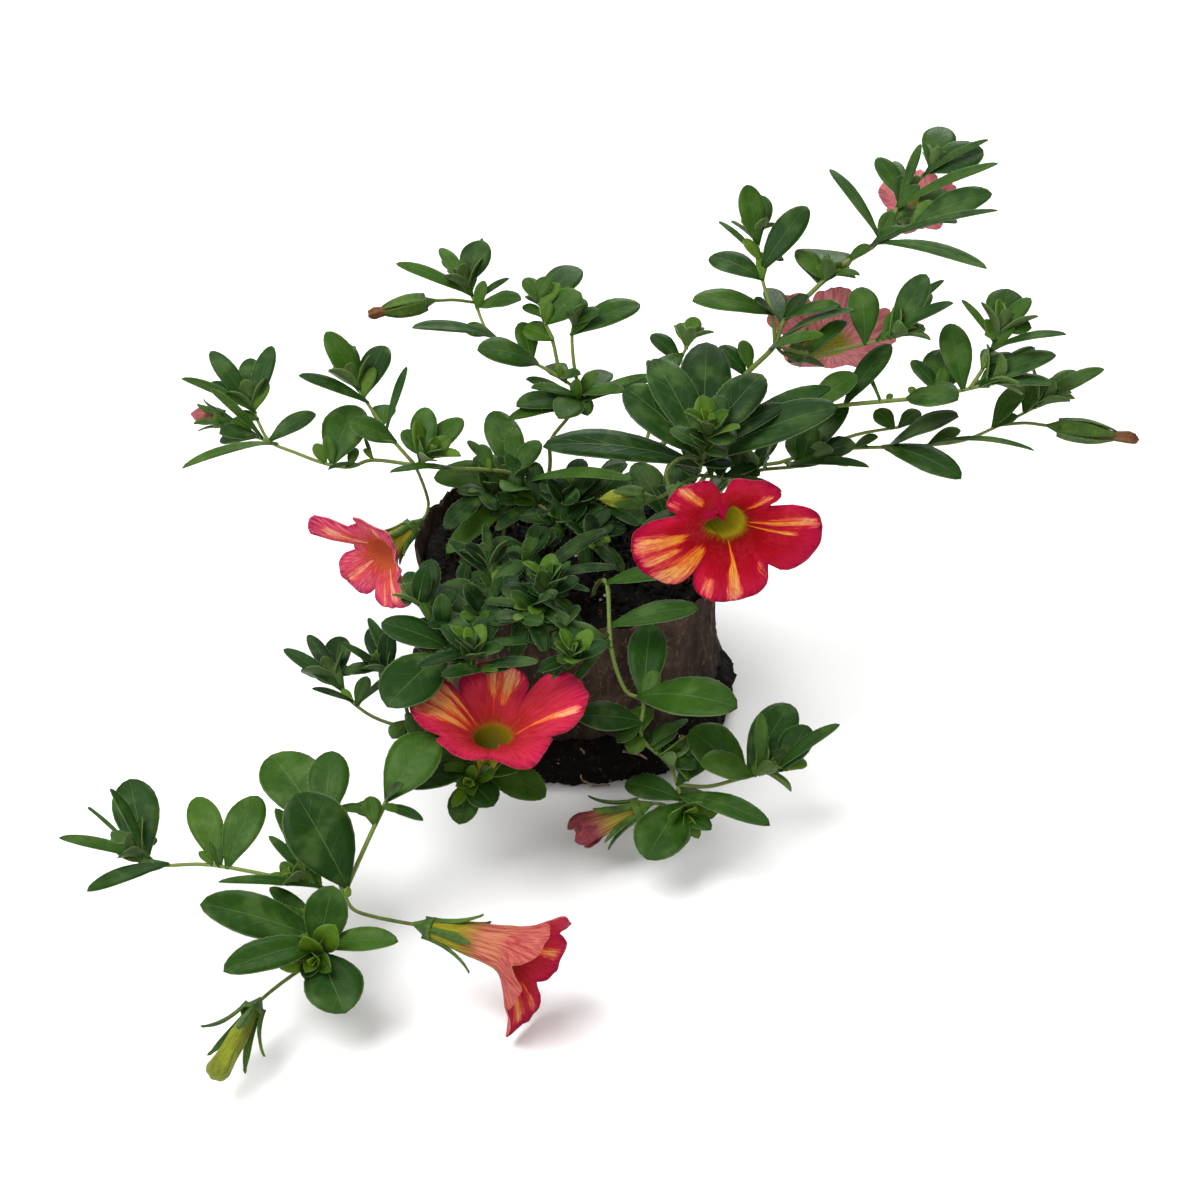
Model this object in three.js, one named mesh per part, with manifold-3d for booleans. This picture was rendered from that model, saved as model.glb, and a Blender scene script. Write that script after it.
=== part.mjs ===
// Calibrachoa young plant, in flower, in a paper-sleeved peat plug.
// Units are millimetres, +Z is up, and the origin is the middle of the plug's flat base.
// Every leafy stem is one fused body, every corolla and bud is a body of its own,
// and the stems stand in plain holes in the peat.
import * as THREE from "three";
import ManifoldModule from "manifold-3d";

const wasm = await ManifoldModule();
wasm.setup();
const { Manifold, Mesh: SolidMesh } = wasm;

// ---------------------------------------------------------------- dimensions
const PLUG_RX = 30.4;            // half width of the paper sleeve at its rim
const PLUG_RY = 27.4;            // half depth of the paper sleeve at its rim
const PLUG_POWER = 2.35;         // squareness of the plug's plan
const SLEEVE_FOOT = 9;           // height of the sleeve's lower edge
const SLEEVE_RIM = 36.6;         // mean height of the sleeve's rim
const SLEEVE_WALL = 1.0;
const GAP = 0.32;                // clearance between pieces that stand next to each other
const SOIL_TOP = 34.4;
const HOLE_FLOOR = 28;
const HOLE_SIDES = 6;
const FOOT_RADIUS = 0.9;         // stem radius in the peat
const STEM_RADIUS = 0.8;
const PEDICEL_RADIUS = 0.5;
const STEM_SIDES = 4;
const LEAF_THICKNESS = 0.9;
const LEAF_ARCH = 0.07;          // rise of the midrib above its chord, as a share of length
const LEAF_RISE = 25;            // elevation a leaf takes when nothing else is stated, degrees
const PETIOLE = 0.45;            // half width of a leaf where it leaves the stem
const ROOT_DEPTH = 0.3;          // how far a leaf is sunk past the stem's axis
const STALK = 1.5;               // length of a leaf's stalk, where it may meet its neighbours
const NODE_STEP = 1.4;           // spacing along the stem of leaves that share a node
const PETAL_THICKNESS = 0.65;
const CUP_HEIGHT = 3.0;          // green cup of the calyx
const CUP_RADIUS = 2.4;
const CUP_WELL = 1.75;           // radius inside the sepals, where the corolla stands
const SEPAL_SPREAD = 17;         // how far the sepals of an open flower stand out, degrees
const GOLDEN_ANGLE = 137.5;

// Half width of a blade along its length, as shares of length and of half width.
const BIG_LEAF = [[0.28, 0.72], [0.56, 1], [0.84, 0.7]];
const SMALL_LEAF = [[0.36, 0.84], [0.72, 0.86]];
const TINY_LEAF = [[0.55, 1]];

// ------------------------------------------------------------- design drawing
// The plant's habit is drawn as seen from one oblique viewing point. A point of the
// drawing is [across, up] in millimetres on a plane through DRAWING_CENTRE, and the
// height above the ground fixes how far along the line of sight the point lies.
const DRAWING_CENTRE = new THREE.Vector3(6.1, 0, 23.5);
const DRAWING_ELEVATION = 34;
const DRAWING_REACH = 492;
const rad = THREE.MathUtils.degToRad;
const SIN = Math.sin(rad(DRAWING_ELEVATION));
const COS = Math.cos(rad(DRAWING_ELEVATION));
const ACROSS = new THREE.Vector3(1, 0, 0);
const UPWARD = new THREE.Vector3(0, SIN, COS);
const TOWARD = new THREE.Vector3(0, -COS, SIN);
const EYE = DRAWING_CENTRE.clone().addScaledVector(TOWARD, DRAWING_REACH);
const SKY = new THREE.Vector3(0, 0, 1);
const LEAF_FACING = SKY.clone().addScaledVector(TOWARD, 0.5);

// Stems. Each shoot has its foot [x, y] in the peat and a list of stems. A stem is a
// list of points [across, up, height, ...what grows there]. A leaf is
// [tip across, tip up, width, tilt toward the viewer, roll]; a tuft of young leaves
// is ["tuft", how many, length]. The first stem starts at the foot, and every other
// stem starts on a point of an earlier one.
const SHOOTS = {
  shoot_upright: {
    foot: [9, 9],
    stems: [
      [
        [8, 27, 50], [20, 37, 62],
        [30, 46, 71, [24, 51, 5], [28.3, 51.5, 3.5]],
        [35, 51, 76, [49, 46, 6.5], [50, 54, 4.5]],
        [37, 56, 79.5, [41.6, 66.6, 5.5], [48, 57, 5]],
        [46, 65, 86, [45.5, 76.3, 12], [39.3, 70, 5], [51.8, 65.4, 2.5], ["tuft", 1, 5]],
        [50, 68, 88, [54.6, 70.2, 3]],
        [56, 72, 90.5, [46, 86.5, 4.5], [76.5, 70, 6], [79.5, 78, 3.5]],
        [61, 81, 95, [55.4, 88.5, 5], [59, 89, 3.5], [64, 90.3, 3.5], [79.5, 87.5, 4.5]],
        [67, 87, 98, [69, 96, 7.5], [76, 91.5, 9], [73, 94, 5], [77.6, 92.2, 3], ["tuft", 1, 5]],
      ],
      [
        [56, 72, 90.5], [61, 74, 92],
        [65, 76, 93.5, [68.5, 83, 7.5], [72.5, 83, 6], [78.2, 81.8, 7], [66, 79.5, 4]],
      ],
      [
        [35, 51, 76], [34.5, 57, 81, [19, 60.5, 7]],
        [32.5, 64, 86, [22.5, 71.5, 7]],
        [32, 68.5, 89, [37, 71, 3], [25.2, 76.8, 2.5], [38.7, 78.8, 6.5], [36, 79.3, 2.5]],
        [31, 73.5, 92, [28.3, 81.2, 6], [33.2, 80.4, 6], [30, 77.5, 5], ["tuft", 1, 5]],
      ],
      [
        [35, 51, 76], [42, 49.3, 77, [50.8, 53.6, 4.5]],
        [53, 51.2, 79, [52.3, 62.8, 6.5]],
        [60, 53, 81, [60.5, 59, 6], [66, 62.5, 6], [69, 62.7, 6.5], [72.3, 61, 4], [72.3, 57, 4.5],
          ["tuft", 1, 6]],
      ],
      [
        [8, 27, 50], [12, 41, 58, [9.6, 48.3, 3]],
        [16.5, 49, 65, [10.3, 53.3, 4.5], [11, 44.5, 5]],
        [18, 52, 67, [16.6, 56, 3.5], [19, 56, 4], ["tuft", 1, 5]],
      ],
    ],
  },
  shoot_crown: {
    foot: [14, -3],
    stems: [
      [
        [15, 18, 48, [8.5, 10, 6], [7, 27.5, 7], [15, 28.5, 5]], [19.5, 25, 60],
        [21, 30, 70, [5, 42.5, 11], [-8.5, 35, 11], [12.7, 48.3, 9.5], [21.5, 52.3, 11.5],
          [47.5, 38.8, 11], [36.8, 39.5, 6.5], [45.6, 43.6, 9], [14, 34.5, 4]],
        [21.8, 33.5, 74, [32.3, 45.5, 9], [26.5, 39.6, 6], [19.3, 36.2, 5], [27, 32, 6],
          ["tuft", 1, 7]],
      ],
      [
        [19.5, 25, 60], [25, 24.5, 58, [36.3, 21.8, 3]],
        [29, 25, 57, [32, 24.8, 4]],
      ],
    ],
  },
  shoot_right: {
    foot: [19, 5],
    stems: [
      [
        [24, 28, 56], [35, 36, 66], [42, 38, 68, [53, 42, 8]],
        [49, 39, 69, [58, 51.2, 6]],
        [57.5, 39.8, 70, [52.3, 50.3, 2], [58.3, 41.3, 1.5]],
        [63, 40.3, 71, [62, 42.7, 2], [72.3, 37.5, 9]],
        [68, 41, 72, [71.8, 50.3, 10], [63.5, 48.5, 4]],
        [74, 42.3, 73, [71.2, 54.6, 6.5], [78.5, 46.7, 3.5]],
        [79, 43.5, 74, [87, 50.6, 4.5], [86.5, 47.5, 5], [91.8, 47.8, 6], [90, 45, 4.5],
          ["tuft", 1, 7]],
      ],
      [
        [74, 42.3, 73], [77.3, 47.5, 77, [82.5, 50.5, 3], [80, 53, 5]],
        [79.6, 52.5, 81, [72.3, 60, 3], [93, 53.6, 4], [77, 53.2, 3]],
        [80.5, 54, 82, [81.5, 62.3, 8.5], [86.6, 59.2, 4], [86, 55.3, 5], ["tuft", 1, 7]],
      ],
    ],
  },
  shoot_right_low: {
    foot: [22, -2],
    stems: [
      [
        [27, 25, 46], [36, 27.5, 52], [43, 29.7, 56, [36.5, 36.5, 7], [53.5, 36, 5]],
        [51, 30.4, 57, [56.3, 31.8, 3]],
        [58, 30.6, 58, [72.2, 25, 7.5], [72.2, 31.8, 7.5]],
        [66, 31, 59, [86.5, 31, 2.5]],
        [73, 32, 60.5], [80, 35, 62.5, [82, 40, 3.5], [86.5, 41, 5]],
        [85, 37.5, 64, [91, 42.5, 5]],
        [89, 39.5, 65.5, [101.6, 44.6, 5], [95.5, 46, 5], [93, 47.6, 2.5], ["tuft", 1, 7]],
      ],
      [
        [43, 29.7, 56], [51, 33, 58], [60, 34.6, 60, [55, 38, 5], [64, 38, 4]],
      ],
    ],
  },
  shoot_side: {
    foot: [21, -9],
    stems: [
      [
        [24, 23, 52], [31, 25.8, 57.5, [28, 29.5, 3], [35.5, 33, 4]],
        [40, 26.8, 59, [41.3, 34, 6], [53.6, 27, 4]],
        [43, 28.5, 60, [47.8, 36.2, 6], [52.3, 36, 5], [51, 31.5, 6], [44.5, 34.5, 4],
          [49, 28.7, 3], ["tuft", 1, 6]],
      ],
    ],
  },
  shoot_back_left: {
    foot: [-5, 13],
    stems: [
      [
        [-10, 27, 45], [-9.8, 32, 51], [-6, 37, 56],
        [-4, 41, 59, [-15.2, 44.6, 4], [-15, 42.4, 4], [-16.5, 39.3, 6], [-18, 36.5, 5],
          [-13.5, 35, 6], [2, 50.5, 5.5], [7, 50.2, 3.5], [9.8, 45.2, 3.5], [6.3, 38.5, 5],
          [-2.5, 37, 4]],
        [-8, 44.5, 62, [-10, 50.5, 5], [-3, 45.5, 3]],
        [-15, 48.5, 65.5, [-17.5, 54.5, 5], [-14, 54.3, 4.5], [-26, 51, 7]],
        [-22, 53, 68, [-37.5, 54.5, 5.5], [-26, 56.4, 4]],
        [-25, 59.5, 72, [-16, 60.5, 5.5], [-18.2, 64.5, 2.5]],
        [-27, 63.5, 75, [-36, 72.5, 4.5], [-32, 70.6, 4], [-30, 72, 4], [-28, 71.6, 4],
          [-22.8, 70.7, 7], [-23.6, 73.7, 2.5], ["tuft", 1, 6]],
      ],
      [
        [-4, 41, 59], [-5.2, 47, 65], [-5.6, 53, 70, [7.5, 61, 6.5]],
        [-4.8, 56.5, 73, [-6.6, 59.6, 3.5], [-3.6, 60.5, 4], [-1.3, 60.3, 2], [0, 58, 3.5],
          ["tuft", 1, 5]],
      ],
      [
        [-8, 44.5, 62], [-9.5, 52, 69, [-15, 55.2, 6]],
        [-11.5, 56.5, 73, [-4.6, 62, 7.5], [-15.3, 60, 3]],
        [-12.3, 60.5, 76, [-15, 64.5, 4], [-13.4, 65.2, 5], [-10, 64, 4], [-4.8, 69.8, 7]],
      ],
    ],
  },
  shoot_left: {
    foot: [-13, 6],
    stems: [
      [
        [-15, 22, 41, [-30.3, 14.6, 6.5], [-20.5, 14.4, 6]],
        [-17, 25, 45, [-21.3, 37.8, 7.5], [-25, 29.5, 5], [-30, 24.6, 7.5], [-12, 31.5, 5],
          [-16.3, 34, 4.5], [6.3, 25, 5]],
        [-22, 26, 48, [-26.5, 32, 3], [-24, 30.8, 3.5]],
        [-30, 26.3, 50, [-42, 25.5, 3]],
        [-37, 27, 50.5], [-45.5, 28, 50.5, [-47, 32.5, 1.5]],
        [-50, 26.6, 50.5, [-48.8, 30.5, 2.5], [-54.8, 24.8, 2]],
        [-55, 27.3, 51.5, [-48.8, 39, 9.5], [-57, 30.8, 3]],
        [-61, 29.5, 53], [-66, 31.7, 54.5, [-83.5, 27, 4], [-57, 37.5, 5]],
        [-68.5, 36, 57.5, [-72.5, 37.5, 3]],
        [-70, 40, 60, [-73.5, 50, 5], [-70, 48.6, 5], [-65.3, 50, 5], [-83.5, 44.6, 4],
          [-78, 44, 4], [-75, 42, 4], ["tuft", 1, 6]],
      ],
      [
        [-66, 31.7, 54.5],
        [-70, 33, 56, [-80.5, 39.3, 3.5], [-77, 36.8, 5.5], [-72, 36.6, 4], [-76, 33.5, 5]],
      ],
      [
        [-37, 27, 50.5], [-34.5, 28.3, 52.5, [-38.4, 34, 4.5], [-32.4, 37.5, 6], [-27.6, 36.4, 6],
          ["tuft", 1, 7]],
      ],
      [
        [-37, 27, 50.5], [-41, 31.5, 54, [-50, 36.3, 6]],
        [-43.5, 35, 56.5, [-43.3, 40.6, 5.5], [-38.5, 46.7, 3]],
        [-47.3, 40.5, 60.5, [-60.2, 45, 4.5], [-43.2, 51.2, 6]],
        [-49.3, 43.5, 62.5, [-51.5, 51.6, 6.5], [-55.7, 51.6, 5.5], [-49.2, 51.7, 2.5],
          ["tuft", 1, 6]],
      ],
    ],
  },
  shoot_back_cushion: {
    foot: [-3, 6],
    stems: [
      [
        [-7.5, 15.5, 39, [-2.8, 20.8, 4.2], [-9.8, 22.8, 3.8], [-16, 16.5, 3.6], [-10, 10.5, 3.4]],
        [-6, 22.5, 44, [1.5, 25.2, 5], [-3.5, 28.5, 5], [-12, 24.5, 4.5], [4, 29, 5], [1, 20, 4.5]],
      ],
      [
        [-7.5, 15.5, 39], [2, 21, 44, [8.6, 15, 6], [11, 26.5, 5.5], [9, 30, 5.5], [5, 16.5, 3.6]],
      ],
      [
        [-7.5, 15.5, 39], [-1.2, 11.2, 41, [5.4, 14.4, 4.4], [5, 8.8, 4], [-2.2, 16, 3.4], [2.4, 6, 3.2]],
      ],
      [
        [-7.5, 15.5, 39], [-15, 20.5, 41.5, [-20.8, 14.2, 4], [-20.6, 23.2, 3.6], [-14.5, 25, 3.4]],
        [-24, 21.6, 43.5, [-31, 14.4, 5.2], [-23.5, 15.2, 3.6]],
      ],
    ],
  },
  shoot_middle: {
    foot: [-8, -2],
    stems: [
      [
        [-14.5, 7, 39.5, [-11, 15, 5], [-21.5, 4.6, 4], [-18.5, 10.5, 3.6]],
        [-10.3, 1, 42, [-17, 3, 2.4], [-2, 1.8, 3], [-4.4, 6.2, 2.6], [-16, 7, 3.6], [1.4, 14.6, 5.2],
          [3.6, 7, 3.8], [-3, -2.6, 3.6]],
        [-10.4, 3, 44, [-14.5, 6.5, 3], [-7.5, 7, 3], [-9.5, 9.5, 3.2], ["tuft", 1, 6.5]],
      ],
      [
        [-10.3, 1, 42], [-15.8, -4, 44.5, [-3.6, -7.6, 4.8], [-23.4, -0.2, 3.2], [-21.4, -4.6, 3.8],
          [-10.8, -10.4, 4.2], [-17.4, -10.4, 4], [-11.5, -4.5, 3.6]],
      ],
      [
        [-10.3, 1, 42], [-7, -6, 41.5], [-5.4, -12.8, 39.5, [-12.2, -7.8, 2.8], [-12.4, -14.2, 3.6],
          [-1.6, -9.4, 2.6]],
        [-5.3, -11.2, 42, [-3.9, -6.2, 3.4], [-7.8, -8.6, 2.4], [-8.4, -12.4, 3], ["tuft", 1, 5.5]],
      ],
    ],
  },
  shoot_front_left_short: {
    foot: [-11, -8],
    stems: [
      [
        [-24, -4.8, 42, [-26.8, 5.8, 8.8], [-33.5, -6.5, 5], [-20, 0.6, 4]],
        [-25.6, -13, 39.5, [-14.4, -8.2, 3.2], [-20.6, -3.8, 4.2], [-36.5, -13.5, 4.2], [-32, -8.2, 3.4]],
        [-25.7, -10.4, 42, [-28.7, -3.2, 4], [-23.2, -3.4, 3.4], [-30.5, -4.4, 3.6], ["tuft", 1, 6]],
      ],
      [
        [-25.6, -13, 39.5], [-22.6, -14.6, 39.5, [-13, -12.6, 4], [-17.5, -11.4, 3.6], [-31.5, -15, 4]],
      ],
      [
        [-24, -4.8, 42], [-21.4, 3, 42, [-15, 7.6, 4.6]],
        [-22.6, 7.3, 44, [-30, 12, 3.8], [-26.8, 13.6, 3.2], [-19.3, 12.8, 4.2], [-27.8, 8.8, 2.6],
          [-17, 9.8, 4], ["tuft", 1, 6]],
      ],
    ],
  },
  shoot_left_front: {
    foot: [-20, -7],
    stems: [
      [
        [-28, -8, 41], [-32, -12, 38, [-43.8, -4.6, 7], [-36.3, -3.7, 8.5], [-42.5, -21, 12]],
        [-39, -17, 34, [-43.5, -13, 5]],
        [-38.5, -24.5, 30, [-41.6, -27.6, 4.5], [-32.5, -28.5, 7]],
        [-44, -24, 29], [-49.5, -20.5, 29, [-39.7, -13.8, 3], [-57.5, -17.5, 2.5]],
        [-53.8, -15.5, 30.5, [-61.8, -8.2, 4.5], [-58.4, -6.7, 4.5], [-52.3, -6.2, 6],
          [-50.6, -11.5, 5.5], ["tuft", 1, 6]],
      ],
      [
        [-28, -8, 41], [-34, -4, 43.5, [-29, 2, 4.5]],
        [-36.8, 0.2, 45.5, [-38.5, 5.8, 4.5], [-33.5, 7.8, 5.5], [-30.7, 4.6, 5], [-39.7, 1.2, 4.5],
          ["tuft", 1, 5.5]],
      ],
      [
        [-39, -17, 34], [-43.8, -13.6, 36, [-50.6, -13.6, 3.5], [-49, -5.6, 4], [-45.7, -5.2, 5.5],
          [-50.3, -7, 3], ["tuft", 1, 5.5]],
      ],
    ],
  },
  shoot_front: {
    foot: [-6, -16],
    stems: [
      [
        [-15, -5, 41], [-17.5, -14, 33], [-20.5, -22, 25], [-24, -30, 18.5],
        [-26, -36.8, 19.5, [-39.5, -28.8, 8.5], [-39, -41.5, 7], [-28.5, -43.5, 7],
          [-21.3, -40.8, 7.5], [-12.3, -34.5, 8], [-37.5, -33.5, 4.5], [-16.5, -32.8, 4],
          ["tuft", 1, 6]],
      ],
    ],
  },
  shoot_front_left: {
    foot: [-16, -14],
    stems: [
      [
        [-25, -6, 40.5], [-31, -18, 31], [-38, -31, 26],
        [-45, -45, 22, [-32.3, -28.8, 11], [-49.3, -39.5, 4], [-46, -39.8, 4.5],
          [-35.6, -43.8, 3.5], [-52.3, -41.6, 3]],
        [-51.2, -58.8, 15.5, [-61.5, -41.6, 14], [-50, -58.9, 3]],
        [-55, -67, 13, [-70.5, -61.6, 5.5], [-66, -56.3, 5]],
        [-56.5, -71.8, 12.5, [-51.5, -58.6, 10], [-81, -62.5, 10.5], [-77, -71.2, 9],
          [-40.8, -68, 6.5], [-55.5, -83.6, 13], [-67.2, -73.6, 3.5], [-69.5, -65, 5],
          [-64, -66.5, 6], ["tuft", 1, 7]],
      ],
      [
        [-51.2, -58.8, 15.5], [-54.5, -50, 20], [-55, -44.5, 23, [-53.3, -31, 8.5], [-66, -29, 12.5]],
      ],
      [
        [-51.2, -58.8, 15.5],
        [-60.5, -56.3, 18, [-70.7, -47.4, 5.5], [-61.4, -47.3, 5], [-56.8, -51.5, 3], [-70, -51.5, 4],
          [-76, -53, 3.5], ["tuft", 1, 6]],
        [-77.5, -53, 18.5, [-80.7, -39.2, 7], [-68.6, -39, 8], [-80.2, -50.2, 2]],
        [-88, -53, 18, [-102.6, -58, 5.5], [-92.3, -52.5, 2]],
        [-93, -50.7, 19.5, [-94, -35.8, 9.5], [-107.3, -45, 4.5], [-105, -44.3, 4],
          [-102.5, -41.4, 1.5], [-90, -44.8, 5.5], ["tuft", 1, 6]],
      ],
    ],
  },
  shoot_front_right: {
    foot: [5, -16],
    stems: [
      [
        [1.4, 3.2, 42.5, [14.6, 5.4, 5.5]],
        [2.2, -9.5, 36, [-2.4, -0.6, 5], [-9.8, -15.6, 2.6], [-5.6, -17.2, 3.2], [19.6, -1.5, 6.5]],
        [5, -18, 29.5],
        [8.6, -20.3, 28.5, [10.2, -4.6, 8], [27, -20.7, 10.5]],
        [8.3, -27.5, 22.5, [-4.5, -23.3, 8], [8.6, -21, 5], [6, -30.5, 4.5]],
        [13.5, -32.5, 18, [10.2, -24.5, 4], [14.5, -23.8, 5], [17.6, -23.5, 3], [15.3, -29, 4],
          [19.4, -33.6, 4], ["tuft", 1, 6]],
        [15.5, -37, 15, [25, -26.3, 6.5]],
        [17, -43.5, 11.5, [6.4, -33, 7], [19.4, -34.4, 6.5], [33.8, -44.3, 7], [9.3, -51.7, 11],
          [22.2, -45.6, 4], [10.8, -41.7, 4], ["tuft", 1, 6]],
      ],
      [
        [15.5, -37, 15], [21.5, -37.3, 14.5], [27, -36, 15],
        [33, -34.5, 16, [18.5, -25.2, 10], [20.6, -32.6, 8], [38, -20.3, 9], [32, -24, 4],
          [34.6, -24, 4], [33.5, -29, 4], ["tuft", 1, 6]],
        [38.3, -33.8, 17, [43.5, -27, 7.5], [50.1, -28.8, 4.5], [40.6, -31.3, 4.5], [37, -28, 4]],
      ],
    ],
  },
};

// Open flowers. calyx and mouth are drawing points with heights, face is the way the
// limb opens, spin turns the first lobe, and lobes are [length, opening from the axis].
// notch is how much of the shorter lobe is left where two lobes part.
// tube gives the radius of the corolla's tube above the calyx, halfway, and at the mouth.
const FLOWERS = {
  main: {
    shoot: "shoot_crown",
    pedicel: [[20.5, 28.5, 66], [16, 28.3, 67.5], [13.3, 25.5, 67.5]],
    calyx: [14, 22.3, 66], mouth: [25, 15.5, 66], sepal: 8, tube: [1.55, 2.6, 3.9],
    face: [0.12, -1, 0.02], spin: -102, notch: 0.56,
    lobes: [[13.3, 86], [9.2, 66], [9, 78], [13.4, 96], [11.2, 80]],
  },
  front: {
    shoot: "shoot_front",
    pedicel: [[-26, -36.8, 19.5], [-24.6, -37.3, 18]],
    calyx: [-24, -36, 18.5], mouth: [-21.5, -27.5, 29.5], sepal: 6.5, tube: [1.55, 2.6, 3.7],
    face: [0.02, -0.06, 1], spin: 0, notch: 0.62,
    lobes: [[11.4, 60], [12.9, 66], [8.8, 66], [10.6, 70], [15.4, 65]],
  },
  behind: {
    shoot: "shoot_upright",
    pedicel: [[35, 51, 76], [36.6, 49.3, 75.5]],
    calyx: [38, 49, 75], mouth: [46, 51.4, 70], sepal: 6, tube: [1.5, 2.3, 3.3],
    face: [0.2, 0.93, 0.29], spin: 10, notch: 0.68,
    lobes: [[8.5, 66], [10, 70], [9.5, 68], [9.5, 70], [10, 72]],
  },
  far: {
    shoot: "shoot_upright",
    pedicel: [[56, 72, 90.5], [58.6, 75, 92.3]],
    calyx: [60, 76.5, 92.5], mouth: [63.6, 78, 87.5], sepal: 5, tube: [1.4, 2, 2.8],
    face: [0.2, 0.93, 0.2], spin: 0, notch: 0.68,
    lobes: [[5.5, 60], [6, 64], [5.5, 60], [6, 64], [6.5, 60]],
  },
  left: {
    shoot: "shoot_left",
    pedicel: [[-37, 27, 50.5], [-35.3, 23, 47.5], [-34.3, 19.3, 44], [-35, 16.6, 42]],
    calyx: [-36.2, 15.6, 41.5], mouth: [-43.2, 9.5, 38.6], sepal: 5.5, tube: [1.5, 2.4, 3.4],
    face: [-0.54, -0.84, -0.09], spin: -10, notch: 0.62,
    lobes: [[8.8, 64], [12.3, 66], [7.5, 62], [8, 70], [6, 44]],
  },
  low: {
    shoot: "shoot_front_left",
    pedicel: [[-51.2, -58.8, 15.5], [-49.3, -61.9, 15], [-45, -63.4, 15], [-40, -64.4, 15],
      [-37.6, -64.8, 15]],
    calyx: [-36.4, -65, 15], mouth: [-18, -70, 14.5], sepal: 9, tube: [1.5, 3, 4.4],
    face: [0.86, -0.5, -0.1], spin: 165, notch: 0.66,
    lobes: [[10.5, 66], [8, 46], [8.5, 36], [8.5, 32], [7.5, 36]],
  },
};

// Buds. form picks the outline of the petals still in the bud, open the spread of the sepals.
const BUDS = {
  right_spent: {
    shoot: "shoot_right_low",
    pedicel: [[80, 35, 62.5], [85, 35.4, 62.8], [88.5, 35, 62.8]],
    calyx: [90.2, 34.8, 62.8], end: [107, 32.4, 61.5],
    form: "spent", sepal: 9.5, open: -5,
  },
  left_spent: {
    shoot: "shoot_back_left",
    pedicel: [[-25, 59.5, 72], [-29, 60, 73], [-32, 59.9, 73]],
    calyx: [-33.6, 59.8, 73], end: [-46, 57.2, 72.5],
    form: "spent", sepal: 7.5, open: -6,
  },
  low_yellow: {
    shoot: "shoot_front_left",
    pedicel: [[-56.5, -71.8, 12.5], [-61.5, -75, 10.5], [-65.5, -78, 9]],
    calyx: [-68.3, -80.4, 8.4], end: [-77, -95, 6.8],
    form: "blunt", sepal: 8.5, open: 24,
  },
  front_pink: {
    shoot: "shoot_front_right",
    pedicel: [[17, -43.5, 11.5], [13.5, -41.2, 12.5], [11, -40.7, 13]],
    calyx: [9.6, -41, 13], end: [-4.5, -46.5, 9],
    form: "opening", sepal: 7.5, open: 22,
  },
  crown_green: {
    shoot: "shoot_crown",
    pedicel: [[19.5, 25, 60], [14.5, 22, 58], [12, 20.6, 57]],
    calyx: [10.3, 20.4, 57], end: [0.4, 20.2, 55.5],
    form: "closed", sepal: 4, open: 4,
  },
  left_pink: {
    shoot: "shoot_left",
    pedicel: [[-70, 33, 56], [-72.5, 35, 57]],
    calyx: [-74, 36, 57.5], end: [-81.5, 37.2, 58],
    form: "closed", sepal: 3.5, open: 12,
  },
};

const BUD_FORMS = {
  spent: [[0, 0.9], [0.35, 1.15], [0.62, 1], [0.9, 1.4], [1, 1.1]],
  blunt: [[0, 1], [0.35, 1.6], [0.65, 1.7], [0.9, 2], [1, 1.5]],
  opening: [[0, 1.1], [0.3, 2.2], [0.6, 2.9], [0.86, 3.3], [1, 1.3]],
  closed: [[0, 0.9], [0.35, 1.9], [0.7, 1.5], [1, 0.4]],
};

// ------------------------------------------------------------------ materials
const COLOURS = {
  paper: 0x6b5442,
  peat: 0x2b211b,
  leaf: 0x35682d,
  petal: 0xd02c46,
  petal_pale: 0xd8657a,
  bud_yellow: 0xa8a53a,
  bud_brown: 0x8a6246,
  bud_pink: 0xb8606a,
};

function material(name) {
  return new THREE.MeshStandardMaterial({
    color: COLOURS[name],
    roughness: 0.8,
    side: THREE.DoubleSide,
  });
}

// --------------------------------------------------------------- drawing tools
function onDrawing(across, up) {
  return DRAWING_CENTRE.clone().addScaledVector(ACROSS, across).addScaledVector(UPWARD, up);
}

function at([across, up, height]) {
  const onPlane = onDrawing(across, up);
  return EYE.clone().lerp(onPlane, (height - EYE.z) / (onPlane.z - EYE.z));
}

function depthOf(point) {
  return -point.clone().sub(EYE).dot(TOWARD);
}

function atDepth(across, up, depth) {
  return EYE.clone().lerp(onDrawing(across, up), depth / DRAWING_REACH);
}

// The tilt toward the viewer that brings a leaf nearest its natural elevation.
function restTilt(across, up) {
  const inPlane = COS * up / Math.hypot(across, up);
  const most = Math.hypot(inPlane, SIN);
  const turn = Math.acos(Math.min(1, Math.sin(rad(LEAF_RISE)) / most));
  const tilt = Math.atan2(SIN, inPlane) - turn;
  return Math.max(rad(-40), Math.min(rad(40), tilt));
}

// ----------------------------------------------------------------- solid tools
// Rings of points, joined one after the other. Each end closes on a point, or flat.
function loft(rings, start = null, end = null) {
  const points = rings.flat();
  const faces = [];
  const n = rings[0].length;
  for (let i = 0; i + 1 < rings.length; i += 1) {
    for (let k = 0; k < n; k += 1) {
      const a = i * n + k;
      const b = i * n + (k + 1) % n;
      faces.push([a, b, b + n], [a, b + n, a + n]);
    }
  }
  const close = (first, apex, turned) => {
    const fan = [];
    if (apex) {
      points.push(apex);
      for (let k = 0; k < n; k += 1) {
        fan.push([first + k, first + (k + 1) % n, points.length - 1]);
      }
    } else {
      for (let k = 1; k + 1 < n; k += 1) {
        fan.push([first, first + k, first + k + 1]);
      }
    }
    faces.push(...fan.map(([a, b, c]) => (turned ? [a, c, b] : [a, b, c])));
  };
  close(0, start, true);
  close((rings.length - 1) * n, end, false);
  return solid(points, faces);
}

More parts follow.
